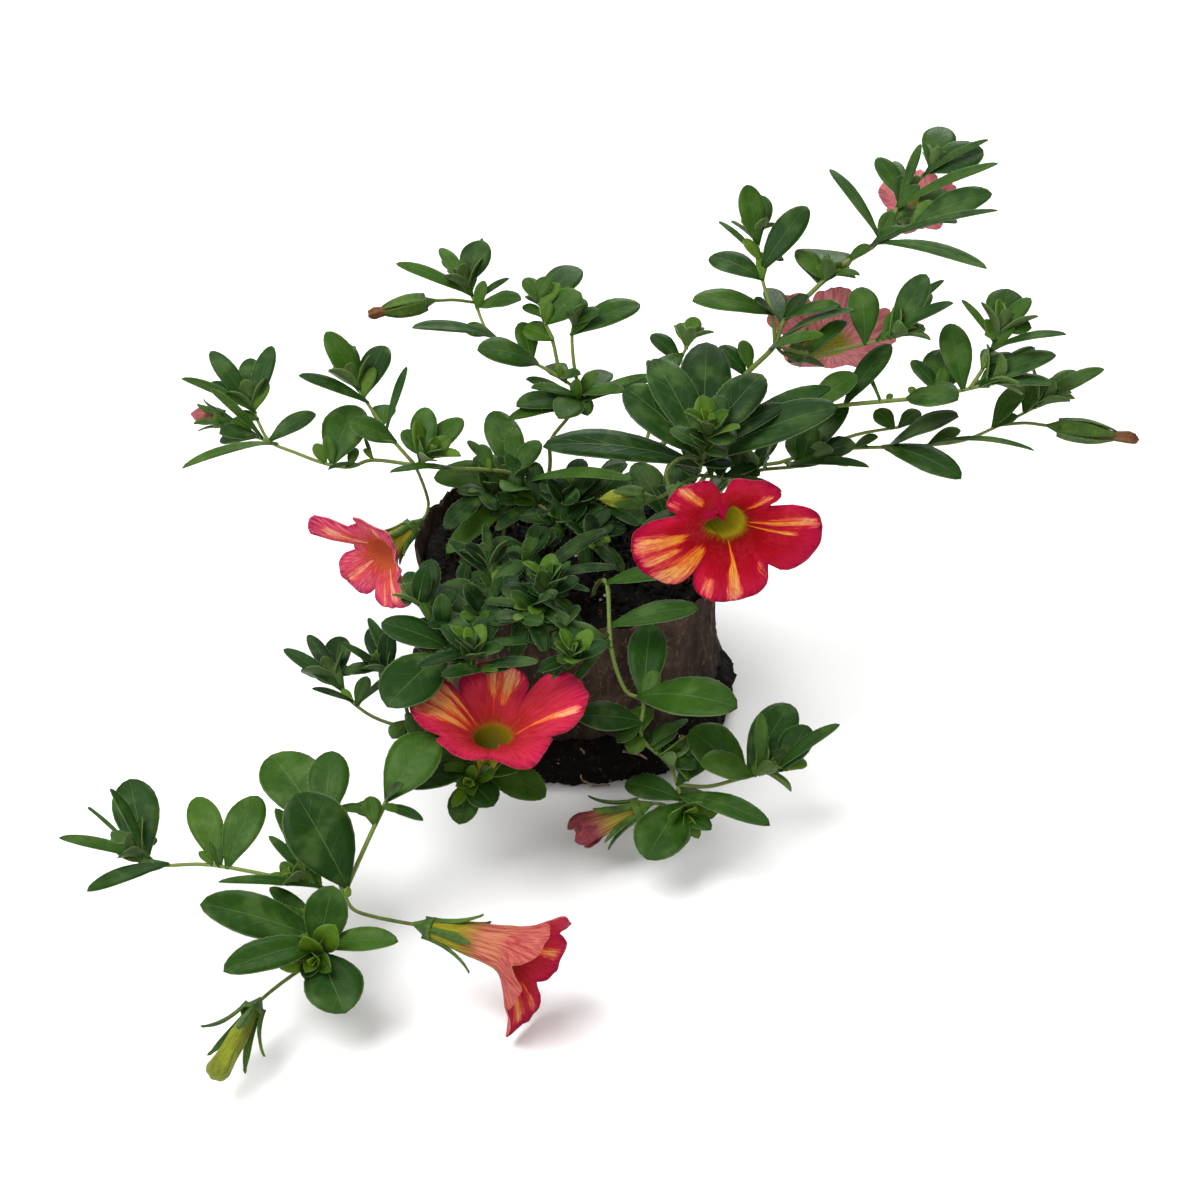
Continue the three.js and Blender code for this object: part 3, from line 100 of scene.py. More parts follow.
# Each shoot has the place of its foot in the soil and its stems, the main one first. A stem's point
# is (across, up, height), followed by the leaves that stand there, as (across, up) of the tip, the
# width and, for some, the tilt and the turn in degrees, and by a "tuft" of young leaves and its
# size where a tip grows.
SHOOTS = {
  "shoot_upright": {
    "foot": [9, 9],
    "stems": [
      [
        [8, 27, 50], [20, 37, 62],
        [30, 46, 71, [24, 51, 5], [28.3, 51.5, 3.5]],
        [35, 51, 76, [49, 46, 6.5], [50, 54, 4.5]],
        [37, 56, 79.5, [41.6, 66.6, 5.5], [48, 57, 5]],
        [46, 65, 86, [45.5, 76.3, 12], [39.3, 70, 5], [51.8, 65.4, 2.5], ["tuft", 5]],
        [50, 68, 88, [54.6, 70.2, 3]],
        [56, 72, 90.5, [46, 86.5, 4.5], [76.5, 70, 6], [79.5, 78, 3.5]],
        [61, 81, 95, [55.4, 88.5, 5], [59, 89, 3.5], [64, 90.3, 3.5], [79.5, 87.5, 4.5]],
        [67, 87, 98, [69, 96, 7.5], [76, 91.5, 9], [73, 94, 5], [77.6, 92.2, 3], ["tuft", 5]],
      ],
      [
        [56, 72, 90.5], [61, 74, 92],
        [65, 76, 93.5, [68.5, 83, 7.5], [72.5, 83, 6], [78.2, 81.8, 7], [66, 79.5, 4]],
      ],
      [
        [35, 51, 76], [34.5, 57, 81, [19, 60.5, 7]],
        [32.5, 64, 86, [22.5, 71.5, 7]],
        [32, 68.5, 89, [37, 71, 3], [25.2, 76.8, 2.5], [38.7, 78.8, 6.5], [36, 79.3, 2.5]],
        [31, 73.5, 92, [28.3, 81.2, 6], [33.2, 80.4, 6], [30, 77.5, 5], ["tuft", 5]],
      ],
      [
        [35, 51, 76], [42, 49.3, 77, [50.8, 53.6, 4.5]],
        [53, 51.2, 79, [52.3, 62.8, 6.5]],
        [60, 53, 81, [60.5, 59, 6], [66, 62.5, 6], [69, 62.7, 6.5], [72.3, 61, 4], [72.3, 57, 4.5],
          ["tuft", 6]],
      ],
      [
        [8, 27, 50], [12, 41, 58, [9.6, 48.3, 3]],
        [16.5, 49, 65, [10.3, 53.3, 4.5], [11, 44.5, 5]],
        [18, 52, 67, [16.6, 56, 3.5], [19, 56, 4], ["tuft", 5]],
      ],
    ],
  },
  "shoot_crown": {
    "foot": [14, -3],
    "stems": [
      [
        [15, 18, 48, [8.5, 10, 6], [7, 27.5, 7], [15, 28.5, 5]], [19.5, 25, 60],
        [21, 30, 70, [5, 42.5, 11], [-8.5, 35, 11], [12.7, 48.3, 9.5], [21.5, 52.3, 11.5],
          [47.5, 38.8, 11], [36.8, 39.5, 6.5], [45.6, 43.6, 9], [14, 34.5, 4]],
        [21.8, 33.5, 74, [32.3, 45.5, 9], [26.5, 39.6, 6], [19.3, 36.2, 5], [27, 32, 6],
          ["tuft", 7]],
      ],
      [
        [19.5, 25, 60], [25, 24.5, 58, [36.3, 21.8, 3]],
        [29, 25, 57, [32, 24.8, 4]],
      ],
    ],
  },
  "shoot_right": {
    "foot": [19, 5],
    "stems": [
      [
        [24, 28, 56], [35, 36, 66], [42, 38, 68, [53, 42, 8]],
        [49, 39, 69, [58, 51.2, 6]],
        [57.5, 39.8, 70, [52.3, 50.3, 2], [58.3, 41.3, 1.5]],
        [63, 40.3, 71, [62, 42.7, 2], [72.3, 37.5, 9]],
        [68, 41, 72, [71.8, 50.3, 10], [63.5, 48.5, 4]],
        [74, 42.3, 73, [71.2, 54.6, 6.5], [78.5, 46.7, 3.5]],
        [79, 43.5, 74, [87, 50.6, 4.5], [86.5, 47.5, 5], [91.8, 47.8, 6], [90, 45, 4.5],
          ["tuft", 7]],
      ],
      [
        [74, 42.3, 73], [77.3, 47.5, 77, [82.5, 50.5, 3], [80, 53, 5]],
        [79.6, 52.5, 81, [72.3, 60, 3], [93, 53.6, 4], [77, 53.2, 3]],
        [80.5, 54, 82, [81.5, 62.3, 8.5], [86.6, 59.2, 4], [86, 55.3, 5], ["tuft", 7]],
      ],
    ],
  },
  "shoot_right_low": {
    "foot": [22, -2],
    "stems": [
      [
        [27, 25, 46], [36, 27.5, 52], [43, 29.7, 56, [36.5, 36.5, 7], [53.5, 36, 5]],
        [51, 30.4, 57, [56.3, 31.8, 3]],
        [58, 30.6, 58, [72.2, 25, 7.5], [72.2, 31.8, 7.5]],
        [66, 31, 59, [86.5, 31, 2.5]],
        [73, 32, 60.5], [80, 35, 62.5, [82, 40, 3.5], [86.5, 41, 5]],
        [85, 37.5, 64, [91, 42.5, 5]],
        [89, 39.5, 65.5, [101.6, 44.6, 5], [95.5, 46, 5], [93, 47.6, 2.5], ["tuft", 7]],
      ],
      [
        [43, 29.7, 56], [51, 33, 58], [60, 34.6, 60, [55, 38, 5], [64, 38, 4]],
      ],
    ],
  },
  "shoot_side": {
    "foot": [21, -9],
    "stems": [
      [
        [24, 23, 52], [31, 25.8, 57.5, [28, 29.5, 3], [35.5, 33, 4]],
        [40, 26.8, 59, [41.3, 34, 6], [53.6, 27, 4]],
        [43, 28.5, 60, [47.8, 36.2, 6], [52.3, 36, 5], [51, 31.5, 6], [44.5, 34.5, 4],
          [49, 28.7, 3], ["tuft", 6]],
      ],
    ],
  },
  "shoot_back_left": {
    "foot": [-5, 13],
    "stems": [
      [
        [-10, 27, 45], [-9.8, 32, 51], [-6, 37, 56],
        [-4, 41, 59, [-15.2, 44.6, 4], [-15, 42.4, 4], [-16.5, 39.3, 6], [-18, 36.5, 5],
          [-13.5, 35, 6], [2, 50.5, 5.5], [7, 50.2, 3.5], [9.8, 45.2, 3.5], [6.3, 38.5, 5],
          [-2.5, 37, 4]],
        [-8, 44.5, 62, [-10, 50.5, 5], [-3, 45.5, 3]],
        [-15, 48.5, 65.5, [-17.5, 54.5, 5], [-14, 54.3, 4.5], [-26, 51, 7]],
        [-22, 53, 68, [-37.5, 54.5, 5.5], [-26, 56.4, 4]],
        [-25, 59.5, 72, [-16, 60.5, 5.5], [-18.2, 64.5, 2.5]],
        [-27, 63.5, 75, [-36, 72.5, 4.5], [-32, 70.6, 4], [-30, 72, 4], [-28, 71.6, 4],
          [-22.8, 70.7, 7], [-23.6, 73.7, 2.5], ["tuft", 6]],
      ],
      [
        [-4, 41, 59], [-5.2, 47, 65], [-5.6, 53, 70, [7.5, 61, 6.5]],
        [-4.8, 56.5, 73, [-6.6, 59.6, 3.5], [-3.6, 60.5, 4], [-1.3, 60.3, 2], [0, 58, 3.5],
          ["tuft", 5]],
      ],
      [
        [-8, 44.5, 62], [-9.5, 52, 69, [-15, 55.2, 6]],
        [-11.5, 56.5, 73, [-4.6, 62, 7.5], [-15.3, 60, 3]],
        [-12.3, 60.5, 76, [-15, 64.5, 4], [-13.4, 65.2, 5], [-10, 64, 4], [-4.8, 69.8, 7]],
      ],
    ],
  },
  "shoot_left": {
    "foot": [-13, 6],
    "stems": [
      [
        [-15, 22, 41, [-30.3, 14.6, 6.5], [-20.5, 14.4, 6]],
        [-17, 25, 45, [-21.3, 37.8, 7.5], [-25, 29.5, 5], [-30, 24.6, 7.5], [-12, 31.5, 5],
          [-16.3, 34, 4.5], [6.3, 25, 5]],
        [-22, 26, 48, [-26.5, 32, 3], [-24, 30.8, 3.5]],
        [-30, 26.3, 50, [-42, 25.5, 3]],
        [-37, 27, 50.5], [-45.5, 28, 50.5, [-47, 32.5, 1.5]],
        [-50, 26.6, 50.5, [-48.8, 30.5, 2.5], [-54.8, 24.8, 2]],
        [-55, 27.3, 51.5, [-48.8, 39, 9.5], [-57, 30.8, 3]],
        [-61, 29.5, 53], [-66, 31.7, 54.5, [-83.5, 27, 4], [-57, 37.5, 5]],
        [-68.5, 36, 57.5, [-72.5, 37.5, 3]],
        [-70, 40, 60, [-73.5, 50, 5], [-70, 48.6, 5], [-65.3, 50, 5], [-83.5, 44.6, 4],
          [-78, 44, 4], [-75, 42, 4], ["tuft", 6]],
      ],
      [
        [-66, 31.7, 54.5],
        [-70, 33, 56, [-80.5, 39.3, 3.5], [-77, 36.8, 5.5], [-72, 36.6, 4], [-76, 33.5, 5]],
      ],
      [
        [-37, 27, 50.5], [-34.5, 28.3, 52.5, [-38.4, 34, 4.5], [-32.4, 37.5, 6], [-27.6, 36.4, 6],
          ["tuft", 7]],
      ],
      [
        [-37, 27, 50.5], [-41, 31.5, 54, [-50, 36.3, 6]],
        [-43.5, 35, 56.5, [-43.3, 40.6, 5.5], [-38.5, 46.7, 3]],
        [-47.3, 40.5, 60.5, [-60.2, 45, 4.5], [-43.2, 51.2, 6]],
        [-49.3, 43.5, 62.5, [-51.5, 51.6, 6.5], [-55.7, 51.6, 5.5], [-49.2, 51.7, 2.5],
          ["tuft", 6]],
      ],
    ],
  },
  "shoot_back_cushion": {
    "foot": [-3, 6],
    "stems": [
      [
        [-7.5, 15.5, 39, [-2.8, 20.8, 4.2], [-9.8, 22.8, 3.8], [-16, 16.5, 3.6], [-10, 10.5, 3.4]],
        [-6, 22.5, 44, [1.5, 25.2, 5], [-3.5, 28.5, 5], [-12, 24.5, 4.5], [4, 29, 5], [1, 20, 4.5]],
      ],
      [
        [-7.5, 15.5, 39], [2, 21, 44, [8.6, 15, 6], [11, 26.5, 5.5], [9, 30, 5.5], [5, 16.5, 3.6]],
      ],
      [
        [-7.5, 15.5, 39], [-1.2, 11.2, 41, [5.4, 14.4, 4.4], [5, 8.8, 4], [-2.2, 16, 3.4],
          [2.4, 6, 3.2]],
      ],
      [
        [-7.5, 15.5, 39], [-15, 20.5, 41.5, [-20.8, 14.2, 4], [-20.6, 23.2, 3.6], [-14.5, 25, 3.4]],
        [-24, 21.6, 43.5, [-31, 14.4, 5.2], [-23.5, 15.2, 3.6]],
      ],
    ],
  },
  "shoot_middle": {
    "foot": [-8, -2],
    "stems": [
      [
        [-14.5, 7, 39.5, [-11, 15, 5], [-21.5, 4.6, 4], [-18.5, 10.5, 3.6]],
        [-10.3, 1, 42, [-17, 3, 2.4], [-2, 1.8, 3], [-4.4, 6.2, 2.6], [-16, 7, 3.6], [1.4, 14.6, 5.2],
          [3.6, 7, 3.8], [-3, -2.6, 3.6]],
        [-10.4, 3, 44, [-14.5, 6.5, 3], [-7.5, 7, 3], [-9.5, 9.5, 3.2], ["tuft", 6.5]],
      ],
      [
        [-10.3, 1, 42], [-15.8, -4, 44.5, [-3.6, -7.6, 4.8], [-23.4, -0.2, 3.2], [-21.4, -4.6, 3.8],
          [-10.8, -10.4, 4.2], [-17.4, -10.4, 4], [-11.5, -4.5, 3.6]],
      ],
      [
        [-10.3, 1, 42], [-7, -6, 41.5], [-5.4, -12.8, 39.5, [-12.2, -7.8, 2.8], [-12.4, -14.2, 3.6],
          [-1.6, -9.4, 2.6]],
        [-5.3, -11.2, 42, [-3.9, -6.2, 3.4], [-7.8, -8.6, 2.4], [-8.4, -12.4, 3], ["tuft", 5.5]],
      ],
    ],
  },
  "shoot_front_left_short": {
    "foot": [-11, -8],
    "stems": [
      [
        [-24, -4.8, 42, [-26.8, 5.8, 8.8], [-33.5, -6.5, 5], [-20, 0.6, 4]],
        [-25.6, -13, 39.5, [-14.4, -8.2, 3.2], [-20.6, -3.8, 4.2], [-36.5, -13.5, 4.2],
          [-32, -8.2, 3.4]],
        [-25.7, -10.4, 42, [-28.7, -3.2, 4], [-23.2, -3.4, 3.4], [-30.5, -4.4, 3.6], ["tuft", 6]],
      ],
      [
        [-25.6, -13, 39.5], [-22.6, -14.6, 39.5, [-13, -12.6, 4], [-17.5, -11.4, 3.6], [-31.5, -15, 4]],
      ],
      [
        [-24, -4.8, 42], [-21.4, 3, 42, [-15, 7.6, 4.6]],
        [-22.6, 7.3, 44, [-30, 12, 3.8], [-26.8, 13.6, 3.2], [-19.3, 12.8, 4.2], [-27.8, 8.8, 2.6],
          [-17, 9.8, 4], ["tuft", 6]],
      ],
    ],
  },
  "shoot_left_front": {
    "foot": [-20, -7],
    "stems": [
      [
        [-28, -8, 41], [-32, -12, 38, [-43.8, -4.6, 7], [-36.3, -3.7, 8.5], [-42.5, -21, 12]],
        [-39, -17, 34, [-43.5, -13, 5]],
        [-38.5, -24.5, 30, [-41.6, -27.6, 4.5], [-32.5, -28.5, 7]],
        [-44, -24, 29], [-49.5, -20.5, 29, [-39.7, -13.8, 3], [-57.5, -17.5, 2.5]],
        [-53.8, -15.5, 30.5, [-61.8, -8.2, 4.5], [-58.4, -6.7, 4.5], [-52.3, -6.2, 6],
          [-50.6, -11.5, 5.5], ["tuft", 6]],
      ],
      [
        [-28, -8, 41], [-34, -4, 43.5, [-29, 2, 4.5]],
        [-36.8, 0.2, 45.5, [-38.5, 5.8, 4.5], [-33.5, 7.8, 5.5], [-30.7, 4.6, 5], [-39.7, 1.2, 4.5],
          ["tuft", 5.5]],
      ],
      [
        [-39, -17, 34], [-43.8, -13.6, 36, [-50.6, -13.6, 3.5], [-49, -5.6, 4], [-45.7, -5.2, 5.5],
          [-50.3, -7, 3], ["tuft", 5.5]],
      ],
    ],
  },
  "shoot_front": {
    "foot": [-6, -16],
    "stems": [
      [
        [-15, -5, 41], [-17.5, -14, 33], [-20.5, -22, 25], [-24, -30, 18.5],
        [-26, -36.8, 19.5, [-39.5, -28.8, 8.5], [-39, -41.5, 7], [-28.5, -43.5, 7],
          [-21.3, -40.8, 7.5], [-12.3, -34.5, 8], [-37.5, -33.5, 4.5], [-16.5, -32.8, 4],
          ["tuft", 6]],
      ],
    ],
  },
  "shoot_front_left": {
    "foot": [-16, -14],
    "stems": [
      [
        [-25, -6, 40.5], [-31, -18, 31], [-38, -31, 26],
        [-45, -45, 22, [-32.3, -28.8, 11], [-49.3, -39.5, 4], [-46, -39.8, 4.5],
          [-35.6, -43.8, 3.5], [-52.3, -41.6, 3]],
        [-51.2, -58.8, 15.5, [-61.5, -41.6, 14], [-50, -58.9, 3]],
        [-55, -67, 13, [-70.5, -61.6, 5.5], [-66, -56.3, 5]],
        [-56.5, -71.8, 12.5, [-51.5, -58.6, 10], [-81, -62.5, 10.5], [-77, -71.2, 9],
          [-40.8, -68, 6.5], [-55.5, -83.6, 13], [-67.2, -73.6, 3.5], [-69.5, -65, 5],
          [-64, -66.5, 6], ["tuft", 7]],
      ],
      [
        [-51.2, -58.8, 15.5], [-54.5, -50, 20], [-55, -44.5, 23, [-53.3, -31, 8.5], [-66, -29, 12.5]],
      ],
      [
        [-51.2, -58.8, 15.5],
        [-60.5, -56.3, 18, [-70.7, -47.4, 5.5], [-61.4, -47.3, 5], [-56.8, -51.5, 3], [-70, -51.5, 4],
          [-76, -53, 3.5], ["tuft", 6]],
        [-77.5, -53, 18.5, [-80.7, -39.2, 7], [-68.6, -39, 8], [-80.2, -50.2, 2]],
        [-88, -53, 18, [-102.6, -58, 5.5], [-92.3, -52.5, 2]],
        [-93, -50.7, 19.5, [-94, -35.8, 9.5], [-107.3, -45, 4.5], [-105, -44.3, 4],
          [-102.5, -41.4, 1.5], [-90, -44.8, 5.5], ["tuft", 6]],
      ],
    ],
  },
  "shoot_front_right": {
    "foot": [5, -16],
    "stems": [
      [
        [1.4, 3.2, 42.5, [14.6, 5.4, 5.5]],
        [2.2, -9.5, 36, [-2.4, -0.6, 5], [-9.8, -15.6, 2.6], [-5.6, -17.2, 3.2], [19.6, -1.5, 6.5]],
        [5, -18, 29.5],
        [8.6, -20.3, 28.5, [10.2, -4.6, 8], [27, -20.7, 10.5]],
        [8.3, -27.5, 22.5, [-4.5, -23.3, 8], [8.6, -21, 5], [6, -30.5, 4.5]],
        [13.5, -32.5, 18, [10.2, -24.5, 4], [14.5, -23.8, 5], [17.6, -23.5, 3], [15.3, -29, 4],
          [19.4, -33.6, 4], ["tuft", 6]],
        [15.5, -37, 15, [25, -26.3, 6.5]],
        [17, -43.5, 11.5, [6.4, -33, 7], [19.4, -34.4, 6.5], [33.8, -44.3, 7], [9.3, -51.7, 11],
          [22.2, -45.6, 4], [10.8, -41.7, 4], ["tuft", 6]],
      ],
      [
        [15.5, -37, 15], [21.5, -37.3, 14.5], [27, -36, 15],
        [33, -34.5, 16, [18.5, -25.2, 10], [20.6, -32.6, 8], [38, -20.3, 9], [32, -24, 4],
          [34.6, -24, 4], [33.5, -29, 4], ["tuft", 6]],
        [38.3, -33.8, 17, [43.5, -27, 7.5], [50.1, -28.8, 4.5], [40.6, -31.3, 4.5], [37, -28, 4]],
      ],
    ],
  },
}

# Each open flower has the way of its stalk, the places of its calyx and mouth, the length of its
# sepals, the radii of its tube (foot, waist, throat), the way it faces, the turn of its first lobe,
# how far its lobes are joined, and the length and opening of each lobe. Of its looks it has how pale
# its outside is, how deep the green of its throat, how coral it is and how ragged its margin.
# Some have "pleats", folds of the limb that come down into the throat, as (degrees, how far it
# reaches in, half width); lobes that are "parted" further down than the rest; lobes that are
# "pinched", folded to a share of their width; and a "fade", where the tube's yellow gives way to
# pink. Streaks of a lobe are (place across it, half width, where it starts, where it ends, strength).
FLOWERS = {
  "main": {
    "shoot": "shoot_crown",
    "pedicel": [[20.5, 28.5, 66], [16, 28.3, 67.5], [13.3, 25.5, 67.5]],
    "calyx": [14, 22.3, 66], "mouth": [25, 15.5, 66], "sepal": 8, "tube": [1.55, 2.6, 3.9],
    "face": [0.12, -1, 0.02], "spin": -102, "notch": 0.56,
    "lobes": [[13.3, 86], [9.2, 66], [9, 78], [13.4, 96], [11.2, 80]],
    "pale": 0.35, "green": 0.3, "blush": 0.0, "ragged": 0.3, "slot": "petal",
    "pleats": [(12, 0.9, 17), (52, 0.42, 24), (148, 0.29, 30), (190, 0.16, 36)],
    "parted": {(1, 2): 0.3}, "pinched": {1: 0.86, 2: 0.84},
    "streaks": {
      0: [(0.4, 0.08, 0.0, 0.98, 1.0), (0.1, 0.07, 0.0, 0.72, 0.9), (0.6, 0.05, 0.25, 0.85, 0.8)],
      1: [(-0.5, 0.14, 0.1, 0.85, 0.75)],
      2: [(0.0, 0.17, 0.3, 1.0, 0.85), (0.52, 0.14, 0.68, 1.0, 0.6)],
      3: [(-0.3, 0.19, 0.22, 0.97, 1.0), (0.08, 0.09, 0.35, 0.95, 0.9), (0.62, 0.28, 0.15, 1.0, 1.0)],
      4: [(0.12, 0.08, 0.0, 0.95, 1.0), (0.02, 0.13, 0.4, 1.0, 1.0), (-0.58, 0.16, 0.6, 1.0, 0.6),
          (0.86, 0.1, 0.6, 1.0, 0.55)],
    },
  },
  "front": {
    "shoot": "shoot_front",
    "pedicel": [[-26, -36.8, 19.5], [-24.6, -37.3, 18]],
    "calyx": [-24, -36, 18.5], "mouth": [-21.5, -27.5, 29.5], "sepal": 6.5, "tube": [1.55, 2.6, 3.7],
    "face": [0.02, -0.06, 1], "spin": 0, "notch": 0.62,
    "lobes": [[11.4, 60], [12.9, 66], [8.8, 66], [10.6, 70], [15.4, 65]],
    "pale": 0.4, "green": 1.0, "blush": 0.2, "ragged": 0.4, "slot": "petal",
    "pleats": [(214, 0.3, 14)],
    "streaks": {
      0: [(0.02, 0.16, 0.42, 1.0, 1.0), (-0.42, 0.22, 0.3, 1.0, 1.0), (0.0, 0.05, 0.0, 0.5, 0.5)],
      1: [(-0.2, 0.24, 0.05, 1.0, 1.0), (0.3, 0.24, 0.05, 1.0, 1.0), (-0.62, 0.09, 0.0, 0.85, 0.9)],
      3: [(0.2, 0.06, 0.1, 0.6, 0.4)],
      4: [(-0.5, 0.08, 0.0, 0.95, 1.0), (0.1, 0.05, 0.0, 0.3, 0.5)],
    },
  },
  "behind": {
    "shoot": "shoot_upright",
    "pedicel": [[35, 51, 76], [36.6, 49.3, 75.5]],
    "calyx": [38, 49, 75], "mouth": [46, 51.4, 70], "sepal": 6, "tube": [1.5, 2.3, 3.3],
    "face": [0.2, 0.93, 0.29], "spin": 10, "notch": 0.68,
    "lobes": [[8.5, 66], [10, 70], [9.5, 68], [9.5, 70], [10, 72]],
    "pale": 0.95, "green": 0.5, "blush": 0.85, "ragged": 1.4, "slot": "petal_pale",
  },
  "far": {
    "shoot": "shoot_upright",
    "pedicel": [[56, 72, 90.5], [58.6, 75, 92.3]],
    "calyx": [60, 76.5, 92.5], "mouth": [63.6, 78, 87.5], "sepal": 5, "tube": [1.4, 2, 2.8],
    "face": [0.2, 0.93, 0.2], "spin": 0, "notch": 0.68,
    "lobes": [[5.5, 60], [6, 64], [5.5, 60], [6, 64], [6.5, 60]],
    "pale": 0.95, "green": 0.5, "blush": 0.85, "ragged": 1.4, "slot": "petal_pale",
  },
  "left": {
    "shoot": "shoot_left",
    "pedicel": [[-37, 27, 50.5], [-35.3, 23, 47.5], [-34.3, 19.3, 44], [-35, 16.6, 42]],
    "calyx": [-36.2, 15.6, 41.5], "mouth": [-43.2, 9.5, 38.6], "sepal": 5.5, "tube": [1.5, 2.4, 3.4],
    "face": [-0.54, -0.84, -0.09], "spin": -10, "notch": 0.62,
    "lobes": [[8.8, 64], [12.3, 66], [7.5, 62], [8, 70], [6, 44]],
    "pale": 0.7, "green": 0.5, "blush": 1.0, "ragged": 0.7, "slot": "petal",
    "parted": {(1, 2): 0.4}, "pinched": {1: 0.3}, "fade": (0.75, 1.0),
    "streaks": {
      0: [(0.0, 0.2, 0.0, 0.85, 0.9)],
      1: [(0.0, 0.2, 0.0, 0.8, 0.9), (0.5, 0.12, 0.3, 1.0, 0.7)],
      2: [(0.0, 0.22, 0.0, 0.9, 0.9)],
      3: [(0.0, 0.2, 0.0, 0.9, 0.9), (-0.45, 0.12, 0.3, 1.0, 0.7)],
      4: [(0.0, 0.22, 0.0, 0.85, 0.9)],
    },
  },
  "low": {
    "shoot": "shoot_front_left",
    "pedicel": [[-51.2, -58.8, 15.5], [-49.3, -61.9, 15], [-45, -63.4, 15], [-40, -64.4, 15],
      [-37.6, -64.8, 15]],
    "calyx": [-36.4, -65, 15], "mouth": [-18, -70, 14.5], "sepal": 9, "tube": [1.5, 3, 4.4],
    "face": [0.86, -0.5, -0.1], "spin": 165, "notch": 0.66,
    "lobes": [[10.5, 66], [8, 46], [8.5, 36], [8.5, 32], [7.5, 36]],
    "pale": 0.8, "green": 0.7, "blush": 0.15, "ragged": 0.6, "slot": "petal", "fade": (0.42, 0.72),
    "streaks": {
      0: [(0.0, 0.2, 0.1, 0.9, 0.9), (0.55, 0.12, 0.3, 1.0, 0.6)],
      1: [(0.1, 0.2, 0.1, 0.9, 0.8)],
      3: [(0.0, 0.16, 0.1, 0.9, 0.9)],
      4: [(0.0, 0.24, 0.2, 1.0, 0.9), (0.5, 0.12, 0.3, 0.9, 0.7)],
    },
  },
}

# Each bud or spent flower has the way of its stalk, the places of its calyx and its tip, the length
# and opening of its sepals, and its form, finish and slot.
BUDS = {
  "right_spent": {
    "shoot": "shoot_right_low",
    "pedicel": [[80, 35, 62.5], [85, 35.4, 62.8], [88.5, 35, 62.8]],
    "calyx": [90.2, 34.8, 62.8], "end": [107, 32.4, 61.5], "sepal": 9.5, "open": -5,
    "form": "spent", "finish": "withered", "slot": "bud_brown",
  },
  "left_spent": {
    "shoot": "shoot_back_left",
    "pedicel": [[-25, 59.5, 72], [-29, 60, 73], [-32, 59.9, 73]],
    "calyx": [-33.6, 59.8, 73], "end": [-46, 57.2, 72.5], "sepal": 7.5, "open": -6,
    "form": "spent", "finish": "withered", "slot": "bud_brown",
  },
  "low_yellow": {
    "shoot": "shoot_front_left",
    "pedicel": [[-56.5, -71.8, 12.5], [-61.5, -75, 10.5], [-65.5, -78, 9]],
    "calyx": [-68.3, -80.4, 8.4], "end": [-77, -95, 6.8], "sepal": 8.5, "open": 24,
    "form": "blunt", "finish": "bud_yellow", "slot": "bud_yellow",
  },
  "front_pink": {
    "shoot": "shoot_front_right",
    "pedicel": [[17, -43.5, 11.5], [13.5, -41.2, 12.5], [11, -40.7, 13]],
    "calyx": [9.6, -41, 13], "end": [-4.5, -46.5, 9], "sepal": 7.5, "open": 22,
    "form": "opening", "finish": "fading", "slot": "bud_pink",
  },
  "crown_green": {
    "shoot": "shoot_crown",
    "pedicel": [[19.5, 25, 60], [14.5, 22, 58], [12, 20.6, 57]],
    "calyx": [10.3, 20.4, 57], "end": [0.4, 20.2, 55.5], "sepal": 4, "open": 4,
    "form": "closed", "finish": "bud_yellow", "slot": "bud_yellow",
  },
  "left_pink": {
    "shoot": "shoot_left",
    "pedicel": [[-70, 33, 56], [-72.5, 35, 57]],
    "calyx": [-74, 36, 57.5], "end": [-81.5, 37.2, 58], "sepal": 3.5, "open": 12,
    "form": "closed", "finish": "bud_pink", "slot": "bud_pink",
  },
}

# A bud's radius along its length, how slim it is against that, and the five ridges that twist
# round it: how deep they are, how far they turn and how late along the bud they ripen.
BUD_FORMS = {
  "spent": {
    "outline": [[0, 0.9], [0.35, 1.15], [0.62, 1], [0.9, 1.4], [1, 1.1]],
    "slim": 0.8, "ridges": 0.17, "twist": 1.1, "ripen": 0.0,
  },
  "blunt": {
    "outline": [[0, 1], [0.35, 1.6], [0.65, 1.7], [0.9, 2], [1, 1.5]],
    "slim": 1, "ridges": 0.1, "twist": 1.1, "ripen": 0.0,
  },
  "opening": {
    "outline": [[0, 1.1], [0.3, 2.2], [0.6, 2.9], [0.86, 3.3], [1, 1.3]],
    "slim": 0.86, "ridges": 0.34, "twist": 0.35, "ripen": 1.5,
  },
  "closed": {
    "outline": [[0, 0.9], [0.35, 1.9], [0.7, 1.5], [1, 0.4]],
    "slim": 1, "ridges": 0.1, "twist": 1.1, "ripen": 0.0,
  },
}

# Side leaves that each leaf of a crowded shoot carries, and the spacing of its filler leaves.
CROWDED = {"shoot_middle": (2, 1.2), "shoot_back_cushion": (2, 1.3),
           "shoot_front_left_short": (1, 2.2), "shoot_left_front": (1, 3.5),
           "shoot_crown": (1, 3.0), "shoot_side": (1, 3.5)}

# Main stems that are stouter than the rest.
STOUT = {"shoot_upright": 1.4, "shoot_right": 1.2, "shoot_front_left": 1.25, "shoot_left": 1.1}


# ------------------------------------------------------------------------- drawing tools
def on_drawing(across, up):
    """A place on the drawing plane."""
    return DRAWING_CENTRE + ACROSS * across + UPWARD * up


def at(point):
    """The place of a drawn point that stands at its given height."""
    across, up, height = point[:3]
    on_plane = on_drawing(across, up)
    return EYE.lerp(on_plane, (height - EYE.z) / (on_plane.z - EYE.z))


def at_depth(across, up, depth):
    """The place behind a drawn point, so far from the eye."""
    return EYE.lerp(on_drawing(across, up), depth / DRAWING_REACH)


def depth_of(point):
    """How far a place is from the eye along the line of sight."""
    return -(point - EYE).dot(TOWARD)


def turned(vector, axis, angle):
    return Matrix.Rotation(angle, 3, axis) @ vector


